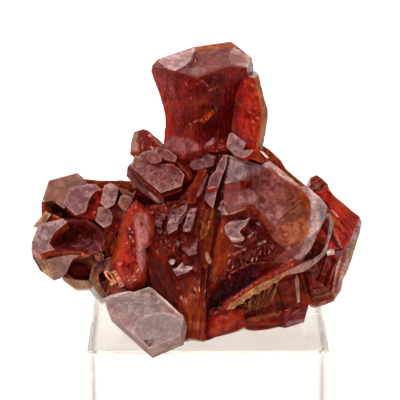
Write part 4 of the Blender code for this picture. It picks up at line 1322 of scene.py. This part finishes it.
def dished_plate(skin):
    """The plate with its dish, its growth layers and the broken part below them."""
    crystal(skin, PLATE_BODY, 5.2, (0.1, 0.12), 5.5, "D8BEBA AC8E8C", BLACK_RED,
            hollow(PLATE_DISH, 1.5, 12.0, "A4625A 7A3E38", 0.0, HOLLOW),
            step(PLATE_TOP, 0.35, "B0949A 7E5E62", FROSTED, 2.6),
            step(PLATE_INNER, 0.4, "B27C7A 8A4E4C", FROSTED, 2.4),
            hollow(PLATE_BELOW, 0.5, 2.5, "842A16 561009", 0.0, GLOSSY),
            ripples(8, 1.5, 0.12, 0.3, PLATE_TOP, "B89E9E 94787A"),
            ripples(52, 1.5, 0.3, 1.4, "250,176 264,168 304,192 308,214 280,226 262,206"),
            rays((205, 352), 3.4, 0.3, within="212,240 224,214 248,240 240,262 208,300"),
            hillock((291, 231), (18, 15), 0.7, -25), hillock((284, 236), (6, 5), 0.25),
            pits(0.3, 0.45, 0.1, PINK, "300,186 328,206 324,232 308,250 312,206"),
            bumps(0.6, 0.45, 0.9, "236,216 262,212 286,250 262,262 232,272 238,240"),
            bumps(0.4, 0.3, 0.8, PLATE_DISH), bumps(0.45, 0.2, 0.6, PLATE_INNER), bumps(1.2, 0.25),
            cut=1.0, rim=None, wear=0.2, seed=61, taper=0.85)


def plate_edges(skin):
    """A small crystal on the plate, and the thin curved ledge around it."""
    skin.stain("230,236 238,239 246,236 243,241 231,241.5", PALE, 0.8, 1.8)
    crystal(skin, "224.5,227 228,222.5 233.4,220.5 244.1,220.5 250,217.5 246,225 239.5,231 240.5,234 "
            "244.2,237 238.8,240.3 230.7,239.8 225.5,234", 6.0, (-0.1, 0.3), 3.0, "A88284 764E50",
            EMBER, pits(0.4, 0.4, 0.12, MAUVE), bumps(0.5, 0.25), cut=0.8)
    skin.marks = []
    skin.stain("314,222 328.5,217 328.5,228 322,242 312,240", "641A14 3A0C0A", 0.9, 3.0)
    crystal(skin, "330,214 334,222 331.5,234 328,245 325.8,253.5 317,262 308,269 299,273 290,272 "
            "300,260 307,246 313,230 322,212", 3.9, (0.2, 0.1), 3.5, "A8928C 7E5E56", "8A5A44 5A2418",
            hollow("322,222 330,219 328,234 325,246 321.5,253 308,263 302,263 310,246 315,232", 1.2,
            1.6, "A2561E 6E200E", 0.1, GLOSSY), cut=0.8, rim="C8B4A8", wear=0.3)


def right_plate(skin):
    """The big dished crystal right of the groove, with its thick pale rim."""
    plate_shoulder(skin)
    plate_marks(skin)
    dished_plate(skin)
    skin.marks = []
    plate_edges(skin)


VALLEY_CRYSTALS = 44
CAVITY_RIBS = 22


def dark_valley(skin):
    """The valley, and the row of small crystals along it."""
    skin.stain("214,318 234,296 256,282 282,266 296,262 296,270 262,287 234,303 220,314",
            "B0401E 84200F", 0.9, 4.0)
    skin.stain("262,262 282,256 298,262 284,270 264,280 256,276", "96301A 6A1810", 0.8, 7.0)
    valley = "208,294 232,272 258,262 282,262 280,268 252,284 222,304 206,322"
    crystal(skin, "206,294 218,281 232,268 246,262 257,256 276,250 292,258 304,262 298,272 280,279 "
            "252,291 234,302 222,312 212,322 203,330 200,312", 5.3, (-0.15, 0.2), 4.5, "7A2A20 541612",
            DARK_RED, hollow(valley, 0.8, 6.0, "55202A 340E16", 0.12), bumps(0.3, 0.12, 0.8),
            ripples(60, 4, 0.1), cut=0.9, **WET)
    skin.marks = []
    for number in range(VALLEY_CRYSTALS):
        share = number / (VALLEY_CRYSTALS - 1)
        across = 210 + 62.0 * share + 2.2 * math.sin(number * 4.3)
        down = 287.5 - 41 * share ** 0.85 + 3.2 * math.sin(number * 2.7)
        size = 0.5 + 0.4 * math.sin(number * 2.1)
        crystal(skin, [(across - size - 0.5, down + 1.6), (across + size * 0.3, down - size - 2),
                (across + size + 0.8, down - 1.5), (across + 0.3 * size, down + 2.0)],
                6.0 + 0.2 * math.sin(number * 3.7), (-0.1 + 0.3 * math.sin(number * 1.9), 0.4), 1.2,
                "722A20 440F12" if number % 4 else "A0746C 5E2A2C", DARK_RED, cut=0.9, **WET)


def tan_ribbon(skin):
    """The scalloped ribbon below the valley."""
    upper = "226,310 230,304 243,295 254,287.5 262,283 273,278.5 281,274 290,270 302,264 312,261"
    lower = ("311,266 303,272 294,273.5 286,275 281,279 277,283 273,283.5 268,288.5 262,290.5 259,294 "
            "253,294.5 251,297.5 246,299.5 243,303.5 237,305.5 234,309")
    skin.stain("284,270 312,258 312,268 288,276", "B8948A 927066", 0.9, 5.0, FROSTED)
    crystal(skin, upper + " " + lower, 5.9, (0.0, -0.1), 1.8, "B07C46 8C542A", BROWN,
            ripples(-35, 3, 0.15, 0.6), bumps(0.5, 0.2), cut=0.9, rim="C49A66", wear=0.2)


def ribbed_cavity(skin):
    """The cavity under the ribbon, with its ribs."""
    skin.stain("272,282 286,276 298,274 296,300 282,304 272,298", "94381C 681C0E", 0.9, 6.0)
    skin.stain("236,308 262,306 296,300 298,312 240,318", "6E1C10 460D09", 0.9, 4.0)
    crystal(skin, "228,314 244,298 262,290 284,280 300,272 312,275 312,300 300,318 280,314 246,322 "
            "232,322", 3.4, (0.1, -0.15), 4.0, "7E2C14 54150C", DARK_RED, bumps(0.8, 0.3),
            ripples(-15, 2.6, 0.5, 0.3), finish=HOLLOW, rim=None)
    skin.marks = []
    ribs = ("A8723E 7A3E1C", "8A4A22 66220F", "B4865A 8A5230", "7E3416 5A160C")
    for number in range(CAVITY_RIBS):
        share = number / (CAVITY_RIBS - 1)
        top = (241 + 38 * share + 1.5 * math.sin(number * 1.7), 306 - 24 * share)
        low = (244 + 22 * share + 2.0 * math.sin(number * 2.9), 314 - 8 * share)
        width = 0.7 + 0.35 * math.sin(number * 2.3)
        bend = ((top[0] + low[0]) / 2 + 1.5, (top[1] + low[1]) / 2)
        crystal(skin, [(top[0] - width, top[1]), (top[0] + width, top[1] - 0.5),
                (bend[0] + width, bend[1]), (low[0] + width * 0.5, low[1]),
                (low[0] - width * 0.5, low[1]), (bend[0] - width, bend[1])],
                4.3 + 0.3 * math.sin(number * 3.1), (0.15, -0.3), 2.0, ribs[number % 4], BROWN, cut=0.9,
                **WET)
    crystal(skin, "295,280 297,275 299,280 300,302 297.5,303", 4.6, (-0.2, 0.0), 2.0, "A88468 7E5238",
            BROWN, cut=0.8)


def lower_edge(skin):
    """The smooth crystals along the lower edge."""
    skin.stain("198,328 222,320 242,311 244,318 226,330 204,340", "B23A1A 8A1E0E", 0.85, 6.0)
    skin.stain("190,326 200,322 210,330 204,342 192,340", "70160E 4C0C0A", 0.7, 5.0)
    skin.dab((222, 328), (12, 3.0), "B8521E 962C10", 0.6, -20)
    crystal(skin, "196,318 206,312 215,306 222,309 234,308 243,309 245,320 244.5,327.5 235.6,331.5 "
            "225,334.8 214.9,337.3 208,340.6 203.3,341.4 196.6,340.2 190,338 190,328", 5.3, (0.0, 0.1),
            5.0, "8E2014 62100C", RED, hillock((222, 322), (24, 14), 0.9, -20), bumps(0.8, 0.3),
            ripples(-70, 5, 0.2, 0.6), cut=1.0, **WET)
    skin.marks = []
    # A painted light-brown highlight along the top of the low plate
    skin.stain("243,320 262,315 278,312 279,315 262,319 246,324", "A8703A 84401C", 0.85, 2.5)
    skin.stain("284,318 298,309 308,305 306,322 288,328", "7E3C3C 5C1A1E", 0.8, 4.0)
    skin.stain("283,326 290,321 304,319 304,322 290,326", "A88488 7A5054", 0.85, 1.6, FROSTED)
    skin.dab((296, 312), (6, 0.7), "B8808A 8A484C", 0.8, -35)
    crystal(skin, "240,319 262,315 281,311 290,308 300,300 309,304.5 304,322.3 294,325.6 285.4,328 "
            "279.6,326.6 268,329.5 255.5,330.8 248,330 243.5,326.5", 3.4, (0.1, 0.05), 5.0,
            "8A2414 5C100C", RED, ripples(85, 4, 0.3, 0.6), bumps(0.8, 0.3), finish=GLOSSY, cut=1.0,
            rim="9A5A44")


def lower_right(skin):
    """The dark valley, the scalloped tan ribbon and the ribbed cavity below the big plate."""
    dark_valley(skin)
    tan_ribbon(skin)
    skin.marks = []
    ribbed_cavity(skin)
    lower_edge(skin)


def right_back(skin):
    """The crystals behind, with their bright stripes."""
    skin.dab((316, 187), (5.0, 2.4), "9A6E72 74404A", 0.6, 35)
    # A painted pink glint
    skin.dab((319, 193), (3, 1.6), "D09078 A05040", 0.7, 20)
    skin.dab((325, 193), (4, 2.5), "A8603E 8A3420", 0.7, 30)
    crystal(skin, "306.6,186.4 310.2,185.7 310.2,177.8 316.7,174.9 322,178.5 328,184.3 329,188.7 "
            "332,196 330,206 322,205 310,198", 1.4, (0.1, 0.25), 5.0, "96342A 6E1C14", RED,
            hillock((318, 187), (7, 6), 0.15, 20), ripples(50, 1.8, 0.25), bumps(0.6, 0.3),
            finish=GLOSSY, cut=1.0, rim="A8604A")
    skin.marks = []
    skin.stain("329,188 336,197 343,203 360,216 358,219 334,203", "B0561E 86280F", 0.7, 2.5)
    skin.stain("330,214 337,220 342,228 336,226 329,219", "D0701E A83A12", 0.8, 2.5)
    skin.stain("349,208 360,216.5 352,236 345,246 346,228", "A03A34 842420", 0.75, 5.0)
    skin.dab((335, 213.5), (5.5, 0.8), GLINT, 0.85, 48)
    for number in range(7):
        across, down = 330.5 + 1.6 * number, 222 + 3.9 * number
        skin.dab((across, down), (6.5 - 0.4 * number, 0.45), "DCA89C B06458", 0.75, 50)
        skin.dab((across - 0.8, down + 1.8), (6.5, 0.6), STRIPE, 0.8, 50)
    skin.dab((343, 232), (6.0, 0.8), "C07068 8E3A34", 0.6, 75)
    crystal(skin, "318,192 329,188.8 333.9,195.4 337.9,198.9 342.9,202.9 351,210 359.8,216.8 352.5,235 "
            "345.5,248.5 336,249 327,247 312,235", 2.6, (0.25, 0.2), 7.0, "BC3420 8C1A11", RED,
            ripples(-40, 1.7, 0.22, 0.15, None, "7E1812 5A0C0A"), bumps(0.5, 0.15), finish=GLOSSY,
            cut=0.8, rim="A8604A")


def right_front(skin):
    """The long thin crystal at the edge."""
    skin.stain("344,250 347,250 341,272 336,294 333.5,292 338,270", RED, 0.9, 1.5)
    skin.stain("354,240 360,238 348,268 343,284 341,278", "C0A080 A07C60", 0.8, 3.0)
    skin.dab((350.5, 240), (1.4, 4.0), "D8BCA0 B08A70", 0.7, 25)
    crystal(skin, "359.8,216.5 361.8,223 359.4,235 357.5,240.2 352,258.6 346.6,273.2 343.4,278.7 "
            "341.2,290 334,301 331,297 333.5,284 336,268 340,256 346,246 352,235", 2.2, (0.4, -0.05),
            6.0, "B69692 906A66", "9A6A56 6A3020", ripples(-68, 2.0, 0.15, 0.3), cut=0.9, rim="BFA08C",
            wear=0.3)


def right_low(skin):
    """The dark striated crystals in front, and the small ones on them."""
    skin.stain("318,252 330,256 326,276 318,284 314,268", "6A2A20 3A0A08", 0.6, 5.0)
    skin.stain("326,256 331,257 329,264 325,262", "9A6460 6A2E2C", 0.7, 3.0)
    # Painted glints, and pale streaks, on the dark face
    for spot, size, turn in (
            ((333, 272), (8.0, 0.7), -72), ((330, 266), (7.0, 0.6), -65), ((324, 274), (1.6, 1.2), 0),
            ((329, 288), (3.5, 0.8), -60), ((327, 292), (1.4, 1.0), 0), ((337, 262), (6.0, 0.6), -75)):
        skin.dab(spot, size, "D09484 9A4438", 0.75, turn)
    crystal(skin, "318,248 332,250 346,247 341,268 336,284 333,297 326,292 318,286 312,270", 2.4,
            (0.1, 0.0), 6.0, "90180F 5A0C0A", RED, ripples(18, 1.8, 0.25, 0.3, None, STRIPE),
            bumps(0.6, 0.25), cut=0.8, **WET)
    skin.marks = []
    # Its near-white face is a painted highlight
    crystal(skin, "326,251.5 329,247.5 335,249 334.5,254.5 327,255.5", 3.2, (0.0, 0.4), 1.6,
            "F4E4E0 B88A88", RED, bumps(0.4, 0.5, 1.0), cut=0.8, wear=0.2)
    crystal(skin, "333,251 344,249 341,256 335,257", 3.0, (0.2, 0.3), 1.4, "8E5E66 643036", RED,
            cut=0.8, rim=None)
    skin.stain("306,300 314,306 334,298 335,303 315,309 308,306", "A87A68 80503E", 0.85, 2.0, FROSTED)
    crystal(skin, "300,276 312,278 322,284 333,292 334.5,301 326,304.5 315.2,307.8 311,306.8 307,302 "
            "304,290", 2.8, (0.0, -0.05), 5.0, "862A18 5C120C", BROWN, ripples(76, 1.9, 0.3, 0.3, None,
            "A86A44 7E4028"), bumps(0.6, 0.2), finish=GLOSSY, cut=0.9, rim="A07A64")
    skin.marks = []
    crystal(skin, "300,270 308,266 316,262 320,272 314,280 303,280", 3.1, (0.0, 0.1), 3.0,
            "80483C 5A2018", BROWN, bumps(0.6, 0.4), **WET)


def right_group(skin):
    """The striated crystals at the right edge."""
    right_back(skin)
    skin.marks = []
    right_front(skin)
    skin.marks = []
    right_low(skin)


CORE_OUTLINE = corners("58,222 92,192 132,186 160,156 190,140 236,140 262,160 298,194 330,214 "
                       "336,252 322,286 292,312 250,322 206,330 172,322 124,290 84,274 56,254")
CORE_MIDDLE = np.array([200.0, 235.0])

BACK_TINTS = (FROST_SHEEN, MAUVE, PINK, "A6706A 7A3A38", FROST_SHEEN_GREY)
# across, down, radius, turn, out, lean to the right, lean up, length
BACK_HEXAGONS = (
    (208, 104, 22, 12, -4.9, 0.1, 0.25, 3.5), (190, 176, 30, 25, -6.6, -0.1, 0.25, 4.0),
    (240, 190, 25, 5, -6.0, 0.2, 0.3, 4.0), (282, 212, 27, 18, -5.0, 0.35, 0.2, 5.0),
    (310, 252, 22, 40, -3.8, 0.5, 0.1, 5.0), (134, 200, 25, 30, -5.4, -0.3, 0.3, 5.0),
    (92, 214, 24, 8, -3.8, -0.35, 0.25, 5.0), (70, 248, 20, 22, -2.6, -0.55, 0.0, 5.0),
    (276, 282, 24, 20, -4.2, 0.3, -0.1, 5.0), (118, 258, 24, 10, -4.6, -0.35, -0.05, 5.0))
SMALL_BACK_TRIES = 70


def hexagon_outline(radius, turn, chance):
    """Corners of a nearly regular hexagon about the origin, in sheet units."""
    ends = []
    for number in range(6):
        angle = math.radians(turn + 60 * number + chance.uniform(-5, 5))
        reach = radius * chance.uniform(0.86, 1.1)
        ends.append((reach * math.cos(angle), reach * math.sin(angle)))
    return ends


def back_face_features(radius, kind):
    """A hopper hollow for some of the crystals at the back, growth lines for the others."""
    if kind < 0.4:
        reach = radius * 0.62
        inner = [(reach * math.cos(k * math.pi / 3), reach * math.sin(k * math.pi / 3))
                 for k in range(6)]
        return [hollow(inner, 0.1 * radius * 0.9, radius * 0.25, DARK_RED, 0.3), pits(0.2)]
    return [ripples(60 * kind, 4, 0.12), pits(0.3, 0.5, 0.1, MAUVE), bumps(1.0, 0.2)]


def back_crystals(skin):
    """Hexagonal crystals that look away from the viewer, up and down around the rim."""
    chance = np.random.default_rng(14)
    for number, (across, down, radius, turn, out, right, up, length) in enumerate(BACK_HEXAGONS):
        grown_crystal(skin, lift_one(across, down, out), face_normal((right, up), -1),
                      hexagon_outline(radius, turn, chance), min(length, -0.5 - out),
                      back_face_features(radius, chance.random()), BACK_TINTS[number % 5], RED,
                      cut=1.6, seed=200 + number)
    for number in range(SMALL_BACK_TRIES):
        across, down = chance.uniform(80, 325), chance.uniform(165, 305)
        radius = chance.uniform(7, 15)
        tilt = ((across - 200) / 170 * 0.75, (235 - down) / 110 * 0.6)
        room = edge_distance(np.array([[across, down]]), CORE_OUTLINE)[0]
        if math.hypot(*tilt) > 0.85 or room < radius * 0.8:
            continue
        out = -5.6 + 3.6 * math.hypot((across - 200) / 140, (down - 235) / 95) ** 2
        grown_crystal(skin, lift_one(across, down, out - chance.uniform(0, 1.2)),
                      face_normal(tilt, -1),
                      hexagon_outline(radius, chance.uniform(0, 60), chance),
                      min(chance.uniform(2.5, 4.5), 0.2 - out),
                      back_face_features(radius, chance.random()), BACK_TINTS[number % 5],
                      RED if number % 3 else DARK_RED, cut=1.8, seed=300 + number)


def core(skin):
    """The mass that the crystals stand on."""
    def ring(scale, out):
        """The outline scaled; its front drops back behind the left group's hollows."""
        spots = CORE_MIDDLE + (CORE_OUTLINE - CORE_MIDDLE) * scale
        dropped = np.where((CORE_OUTLINE[:, 0] < 110) & (out > 1), 3.4, 0.0)
        return np.column_stack([spots, out - dropped])

    rough = look(DARK_RED, pitch=0.3, depth=0.4, rough=0.8, rough_size=1.2)
    loft(skin, [ring(0.86, 2.7), ring(0.97, 0.6), ring(0.72, -5.6), ring(0.3, -6.2)],
         [rough] * len(CORE_OUTLINE), [bumps(1.2, 0.6, 1.0)], DARK_RED, GLOSSY, cut=1.8,
         layers=12, seed=77, rim=None)


# The matrix, the block and the room

MATRIX_CENTRE = np.array([-0.5, 6.2, 17.6])
MATRIX_RADII = np.array([9.6, 5.0, 6.4])


def matrix_rock():
    """A rough brown lump that carries the crystals and stands on the block."""
    lump = bpy.data.meshes.new("matrix_rock")
    shape = bmesh.new()
    bmesh.ops.create_icosphere(shape, subdivisions=6, radius=1.0)
    balls = np.array([vertex.co for vertex in shape.verts])
    places = balls * MATRIX_RADII
    swell = (rough_noise(places, 5.0, 3, 2) - 0.5) * 2.6
    swell += (blocky_relief(places, 2.6, 9) - 0.5) * 1.5
    swell += (rough_noise(places, 1.1, 6, 3) - 0.5) * 0.7
    places = places * (1.06 + swell / MATRIX_RADII.mean())[:, None] + MATRIX_CENTRE
    places[:, 2] = np.maximum(places[:, 2], BLOCK_TOP + GAP)
    for vertex, place in zip(shape.verts, places):
        vertex.co = Vector(place) * MM
    shape.to_mesh(lump)
    shape.free()
    lump.shade_smooth()
    lump.set_sharp_from_angle(angle=ROCK_SHARP)
    lump.materials.append(rock_material())
    stand_in("matrix_rock", lump, "matrix")


def set_inputs(node, values):
    """Set some of a node's sockets."""
    for name, value in values.items():
        node.inputs[name].default_value = value


def node_graph(name):
    """A new material, its nodes and links, and its surface."""
    material = bpy.data.materials.new(name)
    material.use_nodes = True
    nodes, links = material.node_tree.nodes, material.node_tree.links
    return material, nodes, links, nodes["Principled BSDF"]


def noise_node(nodes, links, place, scale, detail, stretch=(1, 1, 1), distortion=0.0):
    """Noise over the piece's own places."""
    texture = nodes.new("ShaderNodeTexNoise")
    set_inputs(texture, {"Scale": scale, "Detail": detail, "Distortion": distortion})
    mapping = nodes.new("ShaderNodeMapping")
    set_inputs(mapping, {"Scale": stretch})
    links.new(place.outputs["Object"], mapping.inputs["Vector"])
    links.new(mapping.outputs["Vector"], texture.inputs["Vector"])
    return texture.outputs["Fac"]


def ranged(nodes, links, value, low, high, from_low=0.3, from_high=0.7):
    """A value spread over the range from low to high."""
    spread = nodes.new("ShaderNodeMapRange")
    set_inputs(spread, {"From Min": from_low, "From Max": from_high, "To Min": low,
                        "To Max": high})
    links.new(value, spread.inputs["Value"])
    return spread.outputs["Result"]


def darkened(nodes, links, colour, share, shadow):
    """A colour multiplied by a shadow's colour where the share is high."""
    darker = nodes.new("ShaderNodeMix")
    darker.data_type = "RGBA"
    darker.blend_type = "MULTIPLY"
    darker.inputs["B"].default_value = (*shadow, 1.0)
    links.new(colour, darker.inputs["A"])
    links.new(share, darker.inputs["Factor"])
    return darker.outputs["Result"]


def bumped(nodes, links, surface, value, depth, strength=1.0):
    """Let a value raise the surface by a depth in millimetres."""
    bump = nodes.new("ShaderNodeBump")
    set_inputs(bump, {"Distance": depth * MM, "Strength": strength})
    links.new(value, bump.inputs["Height"])
    links.new(bump.outputs["Normal"], surface.inputs["Normal"])


def crystal_material(name, roughness, shine, sheen, glow, grain, bump_depth, shadow=0.72,
                     speck=0.66):
    """A vanadinite surface: the painted tint with a fine grain, under a finish."""
    material, nodes, links, surface = node_graph(name)
    place = nodes.new("ShaderNodeTexCoord")
    tint = nodes.new("ShaderNodeVertexColor")
    tint.layer_name = "tint"
    fine = noise_node(nodes, links, place, grain, 5.0, (1.0, 1.0, 0.55))
    blotch = noise_node(nodes, links, place, grain / 6, 3.0, distortion=1.0)
    blotched = darkened(nodes, links, tint.outputs["Color"],
                        ranged(nodes, links, blotch, 0.0, 1.0, 0.35, 0.65),
                        (shadow, shadow * 0.9, shadow * 0.9))
    grained = darkened(nodes, links, blotched, ranged(nodes, links, fine, 0.0, 1.0, 0.4, 0.62),
                       (speck * 1.12, speck, speck))
    links.new(grained, surface.inputs["Base Color"])
    links.new(ranged(nodes, links, blotch, *roughness), surface.inputs["Roughness"])
    set_inputs(surface, {"IOR": 1.6, "Specular IOR Level": shine,
                         "Specular Tint": (*sheen, 1.0), "Subsurface Weight": glow,
                         "Subsurface Radius": (1.6, 0.25, 0.08),
                         "Subsurface Scale": 0.3 * MM})
    bumped(nodes, links, surface, fine, bump_depth)
    return material


def crystal_materials():
    """One material for each finish, in the order of the finishes."""
    pale, red = (1.0, 0.88, 0.86), (1.0, 0.45, 0.38)
    return [crystal_material("frosted_face", (0.38, 0.55), 0.28, pale, 0.15, 7000, 0.06, 0.85),
            crystal_material("glossy_face", (0.12, 0.24), 0.32, red, 0.6, 5000, 0.03, 0.82, 0.78),
            crystal_material("hollow_face", (0.16, 0.3), 0.16, red, 0.6, 5000, 0.045, 0.82, 0.8),
            crystal_material("broken_edge", (0.5, 0.65), 0.3, pale, 0.15, 6000, 0.08, 0.8),
            crystal_material("backlit_edge", (0.3, 0.5), 0.04, red, 0.9, 4000, 0.03)]


def rock_material():
    """Brown rock in patches."""
    material, nodes, links, surface = node_graph("brown_rock")
    place = nodes.new("ShaderNodeTexCoord")
    broad = noise_node(nodes, links, place, 350, 6.0, distortion=0.6)
    fine = noise_node(nodes, links, place, 2600, 6.0)
    ramp = nodes.new("ShaderNodeValToRGB")
    stops = ((0.30, "3A2014"), (0.45, "6A4226"), (0.58, "8E6A44"), (0.72, "B2936A"))
    while len(ramp.color_ramp.elements) < len(stops):
        ramp.color_ramp.elements.new(0.5)
    for element, (position, code) in zip(ramp.color_ramp.elements, stops):
        element.position = position
        element.color = (*srgb(code), 1.0)
    links.new(broad, ramp.inputs["Fac"])
    links.new(ramp.outputs["Color"], surface.inputs["Base Color"])
    links.new(ranged(nodes, links, fine, 0.7, 0.95), surface.inputs["Roughness"])
    bumped(nodes, links, surface, fine, 0.12)
    return material


def acrylic_material():
    """Clear polished plastic with faint rubbed streaks."""
    material, nodes, links, surface = node_graph("polished_acrylic")
    place = nodes.new("ShaderNodeTexCoord")
    streaks = noise_node(nodes, links, place, 300, 5.0, (1.0, 9.0, 9.0), 1.5)
    # The faint emission is a painted glow that makes the block look brighter
    set_inputs(surface, {"Base Color": (0.90, 0.855, 0.80, 1.0), "Transmission Weight": 1.0,
                         "IOR": 1.38, "Specular IOR Level": 0.3,
                         "Emission Color": (1.0, 0.94, 0.86, 1.0), "Emission Strength": 0.03})
    links.new(ranged(nodes, links, streaks, 0.01, 0.12, 0.45, 0.75),
              surface.inputs["Roughness"])
    bumped(nodes, links, surface, streaks, 0.02, 0.6)
    return material


def dress_block(frame):
    """Make the block of the solids clear."""
    block = frame["nodes"]["display_block"]
    clear = acrylic_material()
    for number in range(len(block.data.materials)):
        block.data.materials[number] = clear


FLOOR_REACH = 1.5
FLOOR_DROP = 0.0002


def floor():
    """A white ground that glows a little, just under the block."""
    mesh = bpy.data.meshes.new("floor")
    shape = bmesh.new()
    bmesh.ops.create_grid(shape, x_segments=1, y_segments=1, size=FLOOR_REACH)
    shape.to_mesh(mesh)
    shape.free()
    ground = bpy.data.objects.new("floor", mesh)
    ground.location.z = -FLOOR_DROP
    bpy.context.scene.collection.objects.link(ground)
    material, _, _, surface = node_graph("white_floor")
    set_inputs(surface, {"Base Color": (0.5, 0.5, 0.5, 1.0), "Roughness": 0.9,
                         "Emission Color": (1.0, 1.0, 1.0, 1.0), "Emission Strength": 0.8})
    mesh.materials.append(material)


LIGHT_COLOUR = (1.0, 0.93, 0.89)
LIGHT_AIM = Vector((0.0, 0.0, 0.024))
SPARK_PLACES = ((0.14, -0.26, 0.26), (0.02, -0.16, 0.36), (-0.26, -0.22, 0.12),
                (-0.05, -0.36, 0.22))


def area_light(name, size, power, location, mirrored=True, lighting=True):
    """A soft square light; it can be kept out of mirror images, or be seen in them alone."""
    light = bpy.data.lights.new(name, "AREA")
    light.shape = "RECTANGLE"
    light.size, light.size_y = size, size
    light.energy = power
    light.color = LIGHT_COLOUR
    lamp = bpy.data.objects.new(name, light)
    lamp.location = location
    away = Vector(location) - LIGHT_AIM
    lamp.rotation_euler = away.to_track_quat("Z", "Y").to_euler()
    lamp.visible_glossy = mirrored
    lamp.visible_diffuse = lighting
    bpy.context.scene.collection.objects.link(lamp)


def lights():
    """A broad light overhead, a fill from the front, and small ones that make sparks."""
    area_light("overhead", 0.35, 0.7, (-0.05, -0.05, 0.45))
    area_light("front_fill", 0.25, 0.7, (0.0, -0.38, 0.12), mirrored=False)
    area_light("small_spark", 0.03, 0.5, (-0.12, -0.22, 0.30))
    for number, place in enumerate(SPARK_PLACES):
        area_light(f"spark_{number}", 0.02, 0.07, place, lighting=False)


TOWARDS_EYE = Vector((0.0, -math.cos(SHEET_LEAN), math.sin(SHEET_LEAN)))


def sky():
    """A white tent with a dim opening towards the eye."""
    world = bpy.data.worlds.new("room")
    world.use_nodes = True
    bpy.context.scene.world = world
    nodes, links = world.node_tree.nodes, world.node_tree.links
    back = nodes["Background"]
    place = nodes.new("ShaderNodeTexCoord")
    towards = nodes.new("ShaderNodeVectorMath")
    towards.operation = "DOT_PRODUCT"
    towards.inputs[1].default_value = TOWARDS_EYE
    links.new(place.outputs["Generated"], towards.inputs[0])
    back.inputs["Color"].default_value = (1.0, 0.91, 0.87, 1.0)
    links.new(ranged(nodes, links, towards.outputs["Value"], 0.6, 0.03, 0.0, 0.8),
              back.inputs["Strength"])


# The picture is so many sheet units wide, seen from so many sheet units away
PICTURE_WIDTH = 400.0
PICTURE_DISTANCE = 2650.0
SENSOR_WIDTH = 36.0
NEAREST_SEEN = 0.001


def camera():
    """The eye that the sheet was drawn for."""
    data = bpy.data.cameras.new("eye")
    data.sensor_width = SENSOR_WIDTH
    data.lens = PICTURE_DISTANCE / PICTURE_WIDTH * SENSOR_WIDTH
    data.clip_start = NEAREST_SEEN
    eye = bpy.data.objects.new("eye", data)
    sheet_middle = Vector((SHEET_MIDDLE_ACROSS, 0.0, SHEET_MIDDLE_HEIGHT))
    eye.location = (sheet_middle + TOWARDS_EYE * VIEW_DISTANCE) * MM
    eye.rotation_euler = (math.pi / 2 - SHEET_LEAN, 0.0, 0.0)
    bpy.context.scene.collection.objects.link(eye)
    bpy.context.scene.camera = eye


GROUPS = {"tower": tower, "upper_left_pair": upper_left_pair, "left_upper": left_upper,
          "left_lower": left_lower, "long_red_crystal": long_red_crystal,
          "foot_crystal": foot_crystal, "middle_fan": middle_fan, "right_plate": right_plate,
          "lower_right": lower_right, "right_group": right_group,
          "back_crystals": back_crystals, "core": core}
PICTURE_GAMMA = 0.94


def main():
    """Dress the frame, and set up the room around it."""
    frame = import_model()
    materials = crystal_materials()
    for name, draw in GROUPS.items():
        skin = Skin()
        draw(skin)
        skin.build(name, materials)
    matrix_rock()
    dress_block(frame)
    floor()
    sky()
    lights()
    camera()
    bpy.context.scene.view_settings.view_transform = "Standard"
    bpy.context.scene.view_settings.gamma = PICTURE_GAMMA


main()
